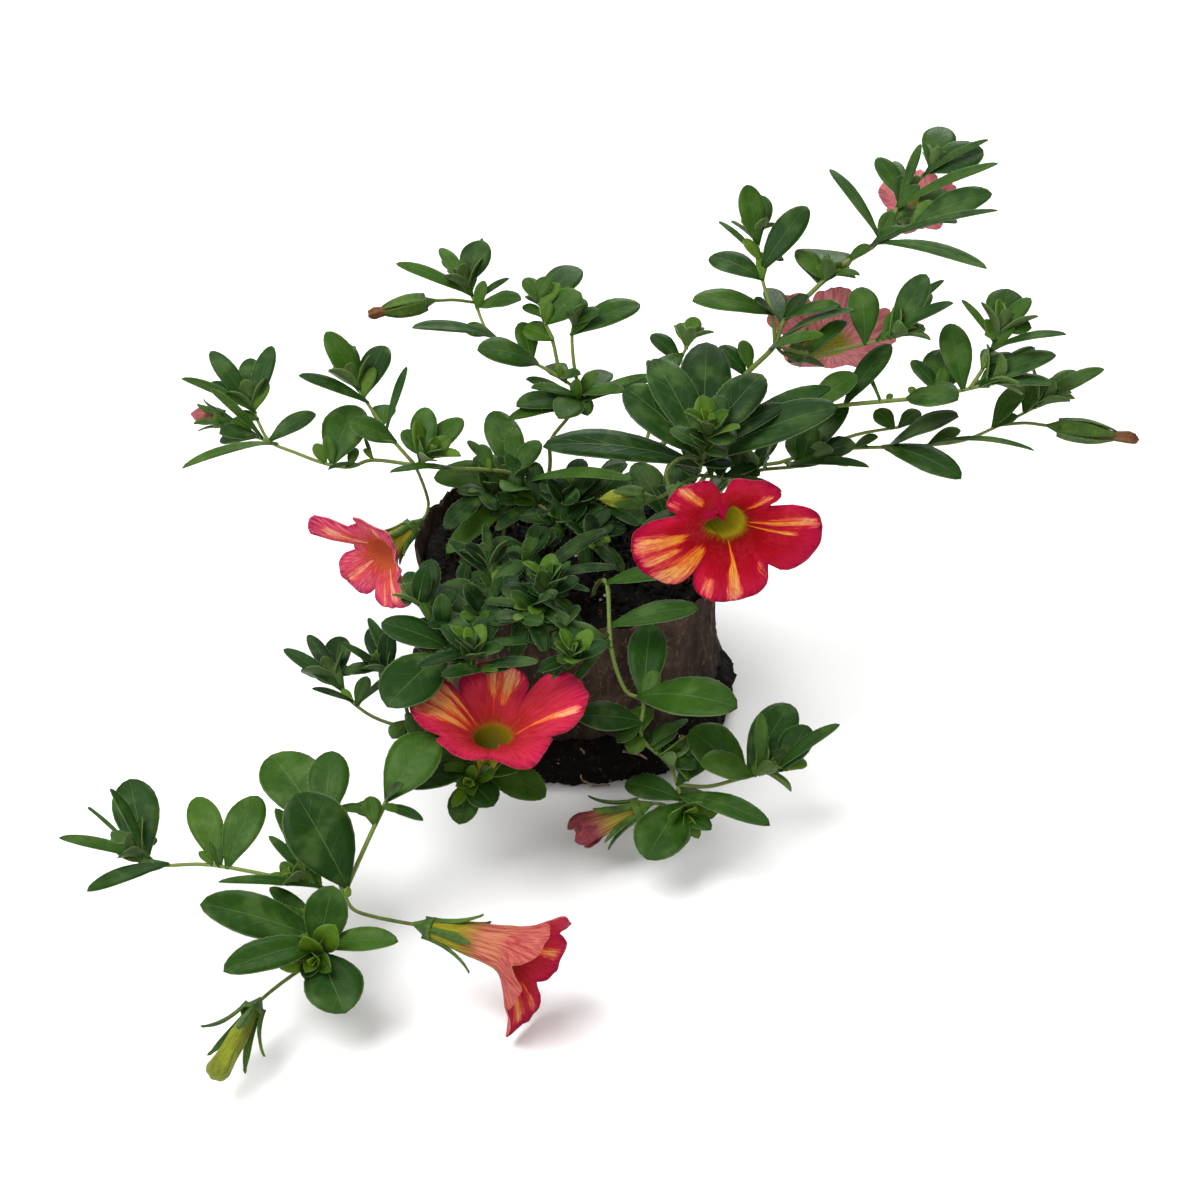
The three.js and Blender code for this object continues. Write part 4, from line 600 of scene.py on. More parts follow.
def sideways(direction):
    """A direction square to the given one, level where it can be."""
    guide = ACROSS if abs(direction.z) > 0.9 else SKY
    return guide.cross(direction).normalized()


def rest_tilt(across, up):
    """The lean out of the drawing plane at which a leaf rises as most do."""
    in_plane = COS * up / math.hypot(across, up)
    turn = math.acos(min(1, math.sin(math.radians(LEAF_RISE)) / math.hypot(in_plane, SIN)))
    steepest = math.radians(LEAF_TILT)
    return max(-steepest, min(steepest, math.atan2(SIN, in_plane) - turn))


# ---------------------------------------------------------------------------- leaf rules
def leaf_from_tip(point, root, growth):
    """A leaf from its stem to its drawn tip."""
    across, up, width = growth[:3]
    da, db = across - point[0], up - point[1]
    depth = depth_of(root)
    scale = depth / DRAWING_REACH
    lean = math.radians(growth[3]) if len(growth) > 3 else rest_tilt(da, db)
    along = at_depth(across, up, depth - math.hypot(da, db) * scale * math.tan(lean)) - root
    length = along.length
    along.normalize()
    normal = (LEAF_FACING - along * LEAF_FACING.dot(along)).normalized()
    if len(growth) > 4:
        normal = turned(normal, along, math.radians(growth[4]))
    return {"root": root, "along": along, "normal": normal, "length": length,
            "width": width * scale, "young": 0.0}


def standing_leaf(root, axis, opening, turn, length, width, young):
    """A leaf that stands round an axis, opened away from it and turned about it."""
    opening = math.radians(opening)
    out = turned(sideways(axis), axis, math.radians(turn))
    return {"root": root,
            "along": axis * math.cos(opening) + out * math.sin(opening),
            "normal": axis * math.sin(opening) - out * math.cos(opening),
            "length": length, "width": width, "young": young}


def tip_axis(along):
    return (along + SKY * TIP_LIFT).normalized()


def tuft_leaf(root, along, size):
    """The leaf that stands for the tuft at the end of a stem."""
    return standing_leaf(root, tip_axis(along), TUFT_OPENING, TUFT_TURN * size, size, 0.46 * size, 1.0)


def variants(leaf):
    """All the ways a leaf may be bent or shortened to stand clear, mildest first."""
    for share in SHORTENED:
        for turn in BENT:
            for k in range(8 if turn else 1):
                across = leaf["normal"].cross(leaf["along"]).normalized()
                pitch = math.radians(turn * math.cos(k * math.pi / 4))
                yaw = math.radians(turn * math.sin(k * math.pi / 4))
                along = turned(leaf["along"], across, pitch)
                normal = turned(leaf["normal"], across, pitch)
                along = turned(along, normal, yaw)
                yield {**leaf, "along": along, "normal": normal, "length": leaf["length"] * share,
                       "width": leaf["width"] * (0.5 + 0.5 * share)}


def corners_of(node):
    """The places of a frame node's corners, in millimetres, ready to be looked up."""
    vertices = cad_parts[node].data.vertices
    tree = KDTree(len(vertices))
    for vertex in vertices:
        tree.insert(vertex.co / MM, vertex.index)
    tree.balance()
    return tree


def grown_leaf(leaf, corners):
    """The leaf as it stands in the frame's solid, or None where it had no room."""
    for variant in variants(leaf):
        tip = variant["root"] + variant["along"] * variant["length"]
        if corners.find(tip)[2] < 0.05:
            return variant
    return None


def leaves_at(point, place, before):
    """The leaves of one point of a stem; the longest stand lowest, a step apart."""
    along = place - before
    reach = along.length
    along.normalize()
    listed = [growth for growth in point[3:] if growth[0] != "tuft"]
    spans = [math.hypot(g[0] - point[0], g[1] - point[1]) for g in listed]
    order = sorted(range(len(listed)), key=lambda i: -spans[i])
    step = min(NODE_STEP, 0.8 * reach / max(1, len(listed)))
    leaves = []
    for rank, index in enumerate(order):
        down = (len(listed) - 1 - rank) * step
        leaves.append(leaf_from_tip(point, place - along * down, listed[index]))
    for growth in point[3:]:
        if growth[0] == "tuft":
            leaves.append(tuft_leaf(place, along, growth[1]))
    return leaves


# --------------------------------------------------------------------------- mesh making
# What each point of a piece is marked with, for its finish to read.
MARKS = ("tone", "young", "streak", "blush")


class Piece:
    """Gathers the rings and blades of one piece, in millimetres, and makes its object in metres."""

    def __init__(self, name, finishes):
        self.name, self.finishes = name, finishes
        self.points, self.faces, self.maps, self.marks = [], [], [], []
        self.finish, self.count = [], 0

    def add(self, points, faces, maps, finish, marks=(0.0, 0.0, 0.0, 0.0)):
        """maps has a (u, v) for each face corner; marks is four values a point, or one set of four."""
        marks = np.asarray(marks, float)
        if marks.ndim == 1:
            marks = np.tile(marks, (len(points), 1))
        self.points.append(np.asarray(points, float))
        self.marks.append(marks)
        self.faces.extend([tuple(int(i) + self.count for i in face) for face in faces])
        self.maps.append(np.asarray(maps, float).reshape(-1, 2))
        self.finish.extend([self.finishes.index(finish)] * len(faces))
        self.count += len(points)

    def make(self):
        mesh = bpy.data.meshes.new(self.name)
        points = np.concatenate(self.points) * MM
        mesh.from_pydata([tuple(p) for p in points], [], self.faces)
        chart = mesh.uv_layers.new(name="grain")
        chart.data.foreach_set("uv", np.concatenate(self.maps).astype(np.float32).ravel())
        marks = np.concatenate(self.marks)
        for column, label in enumerate(MARKS):
            layer = mesh.attributes.new(label, "FLOAT", "POINT")
            layer.data.foreach_set("value", np.ascontiguousarray(marks[:, column], np.float32))
        for finish in self.finishes:
            mesh.materials.append(FINISHES[finish])
        mesh.polygons.foreach_set("material_index", np.array(self.finish, np.int32))
        mesh.polygons.foreach_set("use_smooth", np.ones(len(self.faces), bool))
        mesh.update()
        mesh.validate()
        made = bpy.data.objects.new(self.name, mesh)
        bpy.context.scene.collection.objects.link(made)
        return made


def ring_faces(rings, sides, closed_start=True, closed_end=True, loop=False):
    """Faces and their (u, v) corners of rings of points one after the other."""
    faces, maps = [], []
    for i in range(rings if loop else rings - 1):
        j = (i + 1) % rings
        low, high = i / (rings - 1), (i + 1) / (rings - 1)
        for k in range(sides):
            m = (k + 1) % sides
            faces.append((i * sides + k, i * sides + m, j * sides + m, j * sides + k))
            maps.extend([(k / sides, low), ((k + 1) / sides, low),
                         ((k + 1) / sides, high), (k / sides, high)])
    for wanted, start, turn in ((closed_start, 0, -1), (closed_end, (rings - 1) * sides, 1)):
        if wanted:
            faces.append(tuple(start + k for k in range(sides))[::turn])
            maps.extend([(0.5, 0.0 if turn < 0 else 1.0)] * sides)
    return faces, maps


def smoothed(points, radii, steps):
    """Points and radii of a smooth curve through the given points."""
    points = [Vector(p) for p in points]
    way, sizes = [], []
    for i in range(len(points) - 1):
        p1, p2 = points[i], points[i + 1]
        p0 = points[i - 1] if i else p1 * 2 - p2
        p3 = points[i + 2] if i + 2 < len(points) else p2 * 2 - p1
        for k in range(steps):
            t = k / steps
            way.append(0.5 * (2 * p1 + (p2 - p0) * t + (2 * p0 - 5 * p1 + 4 * p2 - p3) * t * t
                              + (3 * p1 - p0 - 3 * p2 + p3) * t ** 3))
            sizes.append(radii[i] + (radii[i + 1] - radii[i]) * t)
    return way + [points[-1]], sizes + [radii[-1]]


def tube_points(way, sizes, sides, ridges=0.0, twist=0.0, ripen=0.0):
    """Rings of points along a way, round or with five ridges that twist round it."""
    side, out = None, []
    for i, point in enumerate(way):
        along = (way[min(i + 1, len(way) - 1)] - way[max(i - 1, 0)]).normalized()
        side = (side - along * side.dot(along)).normalized() if side else sideways(along)
        other = along.cross(side)
        for k in range(sides):
            turn = 2 * math.pi * k / sides
            ridge = ridges * (i / len(way)) ** ripen
            size = sizes[i] * (1 + ridge * math.cos(5 * (turn + twist * i / len(way))))
            out.append(point + side * (size * math.cos(turn)) + other * (size * math.sin(turn)))
    return out


def add_bar(piece, points, radii, finish, sides=8, steps=4, marks=(0.5, 0.0, 0.0, 0.0), **shape):
    """A stem, root or bud: a smooth bar through the points, with a radius at each."""
    way, sizes = smoothed(points, radii, steps)
    faces, maps = ring_faces(len(way), sides)
    length = sum((b - a).length for a, b in zip(way, way[1:]))
    maps = [(u, v * length / 10) for u, v in maps]
    piece.add(tube_points(way, sizes, sides, **shape), faces, maps, finish, marks)
    return way, sizes


def leaf_pattern(name, columns, rows):
    """A leaf modelled flat and unit-sized: x -1..1 across, y 0..1 along, z 0 above and -1 below."""
    bpy.ops.mesh.primitive_grid_add(x_subdivisions=columns, y_subdivisions=rows, size=2)
    flat = bpy.context.object
    flat.name = name
    for vertex in flat.data.vertices:
        vertex.co.y = 1 - (1 - (vertex.co.y + 1) / 2) ** 1.5
        if vertex.co.y > 0.999:
            vertex.co.x = 0
    bpy.ops.object.mode_set(mode="EDIT")
    bpy.ops.mesh.select_all(action="SELECT")
    bpy.ops.mesh.remove_doubles(threshold=1e-4)
    bpy.ops.object.mode_set(mode="OBJECT")
    solid = flat.modifiers.new("blade", "SOLIDIFY")
    solid.thickness, solid.offset = 1.0, -1.0
    bpy.ops.object.modifier_apply(modifier="blade")
    mesh = flat.data
    points = np.array([tuple(v.co) for v in mesh.vertices])
    faces = [tuple(face.vertices) for face in mesh.polygons]
    bpy.data.objects.remove(flat)
    bpy.data.meshes.remove(mesh)
    return points, faces


def leaf_margin(share):
    """A leaf is widest past its middle, rounded at its tip and drawn in towards its stalk."""
    return np.sin(np.pi * share ** 1.38) ** 0.54 * (1 - 0.45 * np.exp(-9 * share))


def spread(pattern, leaf, draw, flat=0.0, margin=None):
    """The pattern laid out as one leaf: arched, folded along its midrib, a little wavy."""
    x, y, z = pattern[0].T
    length, half_width = leaf["length"], leaf["width"] / 2
    along, normal = leaf["along"], leaf["normal"]
    across = normal.cross(along).normalized()
    over = along.cross(across)
    share = np.clip(y, 0, 1)
    if margin is None:
        margin = leaf_margin
        half_width *= min(1.0, max(0.6, leaf["width"] / length / FULL_WIDTH))
    half = np.maximum(THINNEST, margin(share) * half_width * (1.0 if length > WIDE_FROM else 0.92))
    half = half * (share < 0.9995)
    side = np.sign(x) * np.abs(x) ** 1.25
    fold = (draw.uniform(*FOLD) + 0.5 * leaf["young"]) * (1 - flat)
    wave = draw.uniform(*WAVE) * np.sin(2 * np.pi * (draw.uniform(*WAVES) * share + draw.random()))
    droop = draw.uniform(*DROOP) * length * share ** 4
    rise = LEAF_ARCH * length * 4 * share * (1 - share) + (LEAF_THICKNESS / 3) * (1 - share) ** 0.5
    rise = rise + half * (fold * (np.abs(side) ** 1.4 - 0.45) + wave * side ** 2) - droop
    rise = rise - 0.05 * half * np.clip(np.abs(side) - 0.75, 0, 1) / 0.25
    midrib = 0.3 * (1 - share) * np.exp(-(side / 0.16) ** 2)
    keel = BLADE_THICKNESS * (1 - 0.45 * np.abs(side)) + midrib
    rise = rise + z * keel * (1 if length > THICK_FROM else 0.75)
    bend = draw.uniform(*BEND) * length * share ** 2
    reach = share * (length + ROOT_DEPTH) - ROOT_DEPTH
    return (np.array(leaf["root"])[None] + np.outer(reach, along) + np.outer(rise, over)
            + np.outer(side * half + bend * (1 - share * 0.6), across))


def pattern_maps(pattern):
    """(u, v) of each face corner: u crosses the upper face from 0 to 1 and the lower from 2 to 3."""
    maps = []
    for face in pattern[1]:
        below = sum(pattern[0][i][2] for i in face) / len(face) < -0.75
        for i in face:
            maps.append((pattern[0][i][0] / 2 + (2.5 if below else 0.5), pattern[0][i][1]))
    return maps


LARGE = leaf_pattern("large_leaf", 6, 10)
LITTLE = leaf_pattern("little_leaf", 4, 7)
LARGE_MAPS, LITTLE_MAPS = pattern_maps(LARGE), pattern_maps(LITTLE)


def add_leaf(piece, leaf, draw, finish="leaf", flat=0.0, margin=None, tone=None):
    """A leaf, sepal or lobe; gives back its points and which of them lie on its margin."""
    large = leaf["length"] > LARGE_FROM
    pattern, maps = (LARGE, LARGE_MAPS) if large else (LITTLE, LITTLE_MAPS)
    points = spread(pattern, leaf, draw, flat, margin)
    tone = draw.random() if tone is None else tone
    young = max(leaf["young"], 0.75 - leaf["length"] / 9)
    piece.add(points, pattern[1], maps, finish, (tone, young, 0.0, 0.0))
    edge = [i for i, p in enumerate(pattern[0]) if abs(abs(p[0]) - 1) < 1e-3 and p[2] > -0.5]
    return points, edge


def add_hair(piece, root, direction, length, radius=HAIR_RADIUS):
    """One hair, a spike with three sides."""
    side = sideways(direction)
    other = direction.cross(side)
    ring = [root + side * (radius * math.cos(turn)) + other * (radius * math.sin(turn))
            for turn in HAIR_CORNERS]
    piece.add([*ring, root + direction * length], [(0, 1, 3), (1, 2, 3), (2, 0, 3), (2, 1, 0)],
              [(0.5, 0.5)] * 12, "down")


def hair_on_bar(piece, way, sizes, draw, density=STEM_HAIRS, length=0.55):
    """Fine hairs standing out all round a stem, so many to the millimetre."""
    for a, b, size in zip(way, way[1:], sizes):
        along = (b - a).normalized()
        wanted = (b - a).length * density
        for _ in range(int(wanted) + (draw.random() < wanted % 1)):
            out = turned(sideways(along), along, draw.uniform(0, 2 * math.pi))
            out = (out + along * draw.uniform(-0.4, 0.4)).normalized()
            root = a.lerp(b, draw.random()) + out * size * 0.85
            add_hair(piece, root, out, length * draw.uniform(0.6, 1.2))


def hair_on_edge(piece, points, edge, leaf, draw):
    """Short hairs along a leaf's margin."""
    places = [Vector(points[i]) for i in edge]
    sides = {False: [], True: []}
    across = leaf["normal"].cross(leaf["along"])
    for place in places:
        sides[(place - leaf["root"]).dot(across) > 0].append(place)
    for outer, margin in sides.items():
        margin.sort(key=lambda p: (p - leaf["root"]).dot(leaf["along"]))
        for a, b in zip(margin, margin[1:]):
            for _ in range(max(1, round((b - a).length / EDGE_HAIR_SPACING))):
                out = across * (1 if outer else -1) + leaf["along"] * draw.uniform(0.2, 0.9)
                out = (out + leaf["normal"] * draw.uniform(-0.4, 0.4)).normalized()
                root = a.lerp(b, draw.random())
                add_hair(piece, root, out, draw.uniform(0.25, 0.5), EDGE_HAIR_RADIUS)


def sepal_margin(share):
    """A sepal is a narrow strap, widest past its middle, with a blunt tip."""
    return (0.62 + 0.38 * np.sin(np.pi * np.clip(share, 0, 1) ** 1.3)) * (1 - share ** 7)


def pod_margin(share):
    """A sepal that still wraps its flower is broadest near its foot and ends in a point."""
    share = np.clip(share, 0, 1)
    return np.sin(np.pi * (0.32 + 0.68 * share) ** 1.1) ** 0.8


# The calyx cup from outside to inside, as (height above its foot, radius), and the points round it.
CUP_OUTLINE = [(-0.9, 0.35), (-0.4, 0.55), (0.2, 0.85), (0.9, 1.2), (1.7, 1.65), (2.4, 2.0),
               (2.9, 2.12), (3.0, 1.9), (2.5, 1.6), (1.9, 1.4)]
CUP_SIDES = 20


def add_calyx(piece, base, axis, sepal, spread_angle, draw):
    """The cup that holds a flower, ribbed, with its five sepals; they wrap a flower that is over."""
    side = sideways(axis)
    other = axis.cross(side)
    hugging = spread_angle < HUGGING_SPREAD
    cup = CUP_RADIUS * (0.74 if hugging else 1)
    points = []
    for rise, radius in CUP_OUTLINE:
        radius *= 0.84 if hugging else 1
        for k in range(CUP_SIDES):
            turn = math.radians(360 / CUP_SIDES * k)
            size = radius * (1 + 0.05 * math.cos(5 * turn))
            points.append(base + axis * rise + side * (size * math.cos(turn))
                          + other * (size * math.sin(turn)))
    faces, maps = ring_faces(len(CUP_OUTLINE), CUP_SIDES)
    piece.add(points, faces, maps, "calyx", (draw.random(), 0.35, 0.0, 0.0))
    lean = math.radians(spread_angle)
    for k in range(5):
        out = turned(side, axis, math.radians(LOBE_ANGLE * k))
        root = base + axis * (CUP_HEIGHT - 1.4) + out * (cup - 0.6)
        tip = (base + axis * (CUP_HEIGHT + sepal * math.cos(lean))
               + out * (cup + sepal * math.sin(lean)))
        along = tip - root
        length = along.length
        along.normalize()
        normal = (-out + along * out.dot(along)).normalized() * (-1 if hugging else 1)
        leaf = {"root": root, "along": along, "normal": normal, "length": length,
                "width": HUGGING_WIDTH if hugging else SEPAL_WIDTH, "young": 0.25}
        margin = pod_margin if hugging else sepal_margin
        blade, edge = add_leaf(piece, leaf, draw, "calyx", margin=margin)
        hair_on_edge(piece, blade, edge, leaf, draw)


# --------------------------------------------------------------------------- leafy stems
def grow_shoot(name, shoot):
    """A leafy stem with its side stems, leaves, tips, flower stalks and calyxes."""
    draw = random.Random(name)
    corners = corners_of(name)
    piece = Piece(name.replace("shoot", "leafy_stem"), ["leaf", "stem", "calyx", "down"])
    crowded = name in CROWDED
    side_leaves, spacing = CROWDED.get(name, (1, None))
    side_leaf_odds = 0.9 if crowded else 0.55
    # In crowded shoots leaves get darker tones and their tips less young green: painted shade in the
    # thick of the plant.
    dull, bright = (0.0, 0.35) if crowded else (0.3, 0.85)
    tip_brightness = 0.35 if crowded and name != "shoot_crown" else 1.0
    foot = [Vector((*shoot["foot"], height)) for height in (FOOT_DEPTH, FOOT_TOP)]
    for index, stem in enumerate(shoot["stems"]):
        drawn = [at(point) for point in stem]
        points = drawn if index else foot + drawn
        thick = STEM_RADIUS if index else FOOT_RADIUS
        stout = 1.0 if index else STOUT.get(name, 1.0)
        radii = list(np.linspace(thick * stout, STEM_TIP * stout, len(points)))
        way, sizes = add_bar(piece, points, radii, "stem",
                             marks=(draw.random(), 0.0 if crowded else 0.55, 0.0, 0.0))
        hair_on_bar(piece, way, sizes, draw)
        if crowded:
            fill_in(piece, way, spacing, draw)
        for i, point in enumerate(stem):
            before = drawn[i - 1] if i else points[1]
            onward = (drawn[i] - before).normalized()
            for leaf in leaves_at(point, drawn[i], before):
                stands = grown_leaf(leaf, corners)
                if stands is None:
                    continue
                blade, edge = add_leaf(piece, stands, draw, tone=draw.uniform(dull, bright))
                hair_on_edge(piece, blade, edge, stands, draw)
                for _ in range(side_leaves):
                    if stands["length"] > BRANCHING_FROM and draw.random() < side_leaf_odds:
                        add_axil(piece, stands, onward, draw)
            for growth in point[3:]:
                if growth[0] == "tuft":
                    add_tip(piece, drawn[i], onward, growth[1], draw, tip_brightness)
    for entry in [*FLOWERS.values(), *BUDS.values()]:
        if entry["shoot"] == name:
            add_stalk(piece, entry, draw)
    return piece.make()


def add_stalk(piece, entry, draw):
    """The stalk of an open flower or a bud, with its calyx."""
    base = at(entry["calyx"])
    end = at(entry["mouth"] if "mouth" in entry else entry["end"])
    stalk = [*[at(point) for point in entry["pedicel"]], base]
    way, sizes = add_bar(piece, stalk, [PEDICEL_RADIUS] * len(stalk), "stem",
                         sides=7, marks=(draw.random(), 0.3, 0.0, 0.0))
    hair_on_bar(piece, way, sizes, draw)
    opening = entry.get("open", SEPAL_SPREAD)
    add_calyx(piece, base, (end - base).normalized(), entry["sepal"], opening, draw)


def add_tip(piece, root, along, size, draw, bright):
    """The small bright leaves that stand round a growing tip, the youngest in the middle."""
    axis = tip_axis(along)
    for number in range(1, TIP_LEAVES + 1):
        opening = 52 - 6 * number + draw.uniform(-5, 5)
        length = size * (1.35 - 0.1 * number) * draw.uniform(0.88, 1.1)
        leaf = standing_leaf(root - along * (0.3 * (TIP_LEAVES - number)), axis, opening,
                             LEAF_TURN * number + TUFT_TURN * size, length,
                             length * draw.uniform(0.46, 0.6), (0.3 + 0.1 * number) * bright)
        add_leaf(piece, leaf, draw, flat=0.3)


def keeps_off_flowers(place, reach=12.5):
    """Whether a place is clear of every open flower's mouth."""
    return all((place - at(flower["mouth"])).length > reach for flower in FLOWERS.values())


def fill_in(piece, way, spacing, draw):
    """Small leaves all along a stem in the thick of the plant, toned dark as painted shade."""
    rest = 0.0
    for a, b in zip(way, way[1:]):
        rest += (b - a).length
        while rest > spacing:
            rest -= spacing
            along = (b - a).normalized()
            out = turned(sideways(along), along, draw.uniform(0, 2 * math.pi))
            out = (out + along * draw.uniform(0.1, 0.7) + SKY * 0.3).normalized()
            length = draw.uniform(*FILLER)
            root = a.lerp(b, draw.random())
            tip = root + out * length
            if root.z < SOIL_TOP + 1 or tip.z < SOIL_TOP + 0.5 or not keeps_off_flowers(tip):
                continue
            normal = (LEAF_FACING - out * LEAF_FACING.dot(out)).normalized()
            add_leaf(piece, {"root": root, "along": out, "normal": normal, "length": length,
                             "width": length * draw.uniform(0.46, 0.62), "young": 0.0}, draw,
                     tone=draw.uniform(0, 0.3))


def add_axil(piece, leaf, stem_way, draw):
    """A small leaf in the angle between a leaf and its stem."""
    along = (leaf["along"] * draw.uniform(0.5, 0.8) + stem_way * draw.uniform(0.4, 0.7) + SKY * 0.25)
    along = turned(along.normalized(), leaf["normal"], draw.uniform(-0.55, 0.55))
    normal = (LEAF_FACING - along * LEAF_FACING.dot(along)).normalized()
    length = min(6.5, leaf["length"] * draw.uniform(0.38, 0.58))
    add_leaf(piece, {"root": leaf["root"], "along": along, "normal": normal, "length": length,
                     "width": length * draw.uniform(0.44, 0.6), "young": 0.15}, draw)


# ------------------------------------------------------------------------------- flowers
# Rings of a corolla: along the tube from outside, along the limb, and back down the throat as
# (share of the tube, share of the throat's radius).
LOBE_STEPS = 22
TUBE_RINGS, TUBE_END = 10, 0.92
LIMB_SHARES = [0, 0.06, 0.14, 0.24, 0.35, 0.46, 0.57, 0.68, 0.78, 0.87, 0.94, 0.985]
THROAT_RINGS = [(0.9, 0.93), (0.8, 0.8), (0.72, 0.58), (0.67, 0.32), (0.65, 0.08)]
# How far along the limb a pleat is felt, and the least reach of a pleat that is coloured.
PLEAT_SPREAD, PLEAT_SHOWS = 0.32, 0.3


# A lobe in degrees from its middle: level over its crown, then falling away to the notch. From
# EASE_FROM on it opens more and more as its neighbour does.
CROWN, FALL = 9, 27
EASE_FROM, EASE = 14, 22
# How far the limb bends back at its foot, and how much more at its margin, against its opening.
LIMB_BEND, LIMB_CURL = 0.738, 0.222


def limb_at(flower, turn):
    """Length of the limb, its opening from the axis, the lobe's number and the place across it."""
    around = (turn - flower["spin"]) / LOBE_ANGLE
    index = math.floor(around + 0.5)
    offset = (around - index) * LOBE_ANGLE
    lobe, beside = index % 5, (index + (1 if offset > 0 else -1)) % 5
    length, open_ = flower["lobes"][lobe]
    beside_length, beside_open = flower["lobes"][beside]
    pinch = flower.get("pinched", {}).get(lobe, 1)
    joined = flower.get("parted", {}).get(tuple(sorted((lobe, beside))), flower["notch"])
    notch = joined * min(length, beside_length)
    away = min(1.0, max(0.0, (abs(offset) / pinch - CROWN) / FALL))
    ease = max(0.0, (abs(offset) - EASE_FROM) / EASE)
    ease = ease * ease * (3 - 2 * ease)
    reach = length * (1.015 if abs(offset) < CROWN else 1.015 - 0.015 * min(1, away * 3))
    reach = notch + (reach - notch) * math.sqrt(max(0.0, 1 - away ** 2.6))
    opening = math.radians(open_ + (beside_open - open_) / 2 * ease)
    return reach, opening, lobe, offset / (LOBE_ANGLE / 2)


def streak_at(streaks, across, share):
    """How strongly a lobe's streaks show at a place across it and a share of its length."""
    best = 0.0
    for place, half, start, end, strength in streaks:
        width = half * (0.55 + 0.45 * min(1, share * 1.6))
        near = max(0.0, 1 - abs(across - place) / (2 * width))
        starts = min(1, max(0, (share - start) / 0.12 + 0.4))
        ends = min(1, max(0, (end - share) / 0.12 + 0.4))
        best = max(best, strength * near * (starts * ends))
    return best


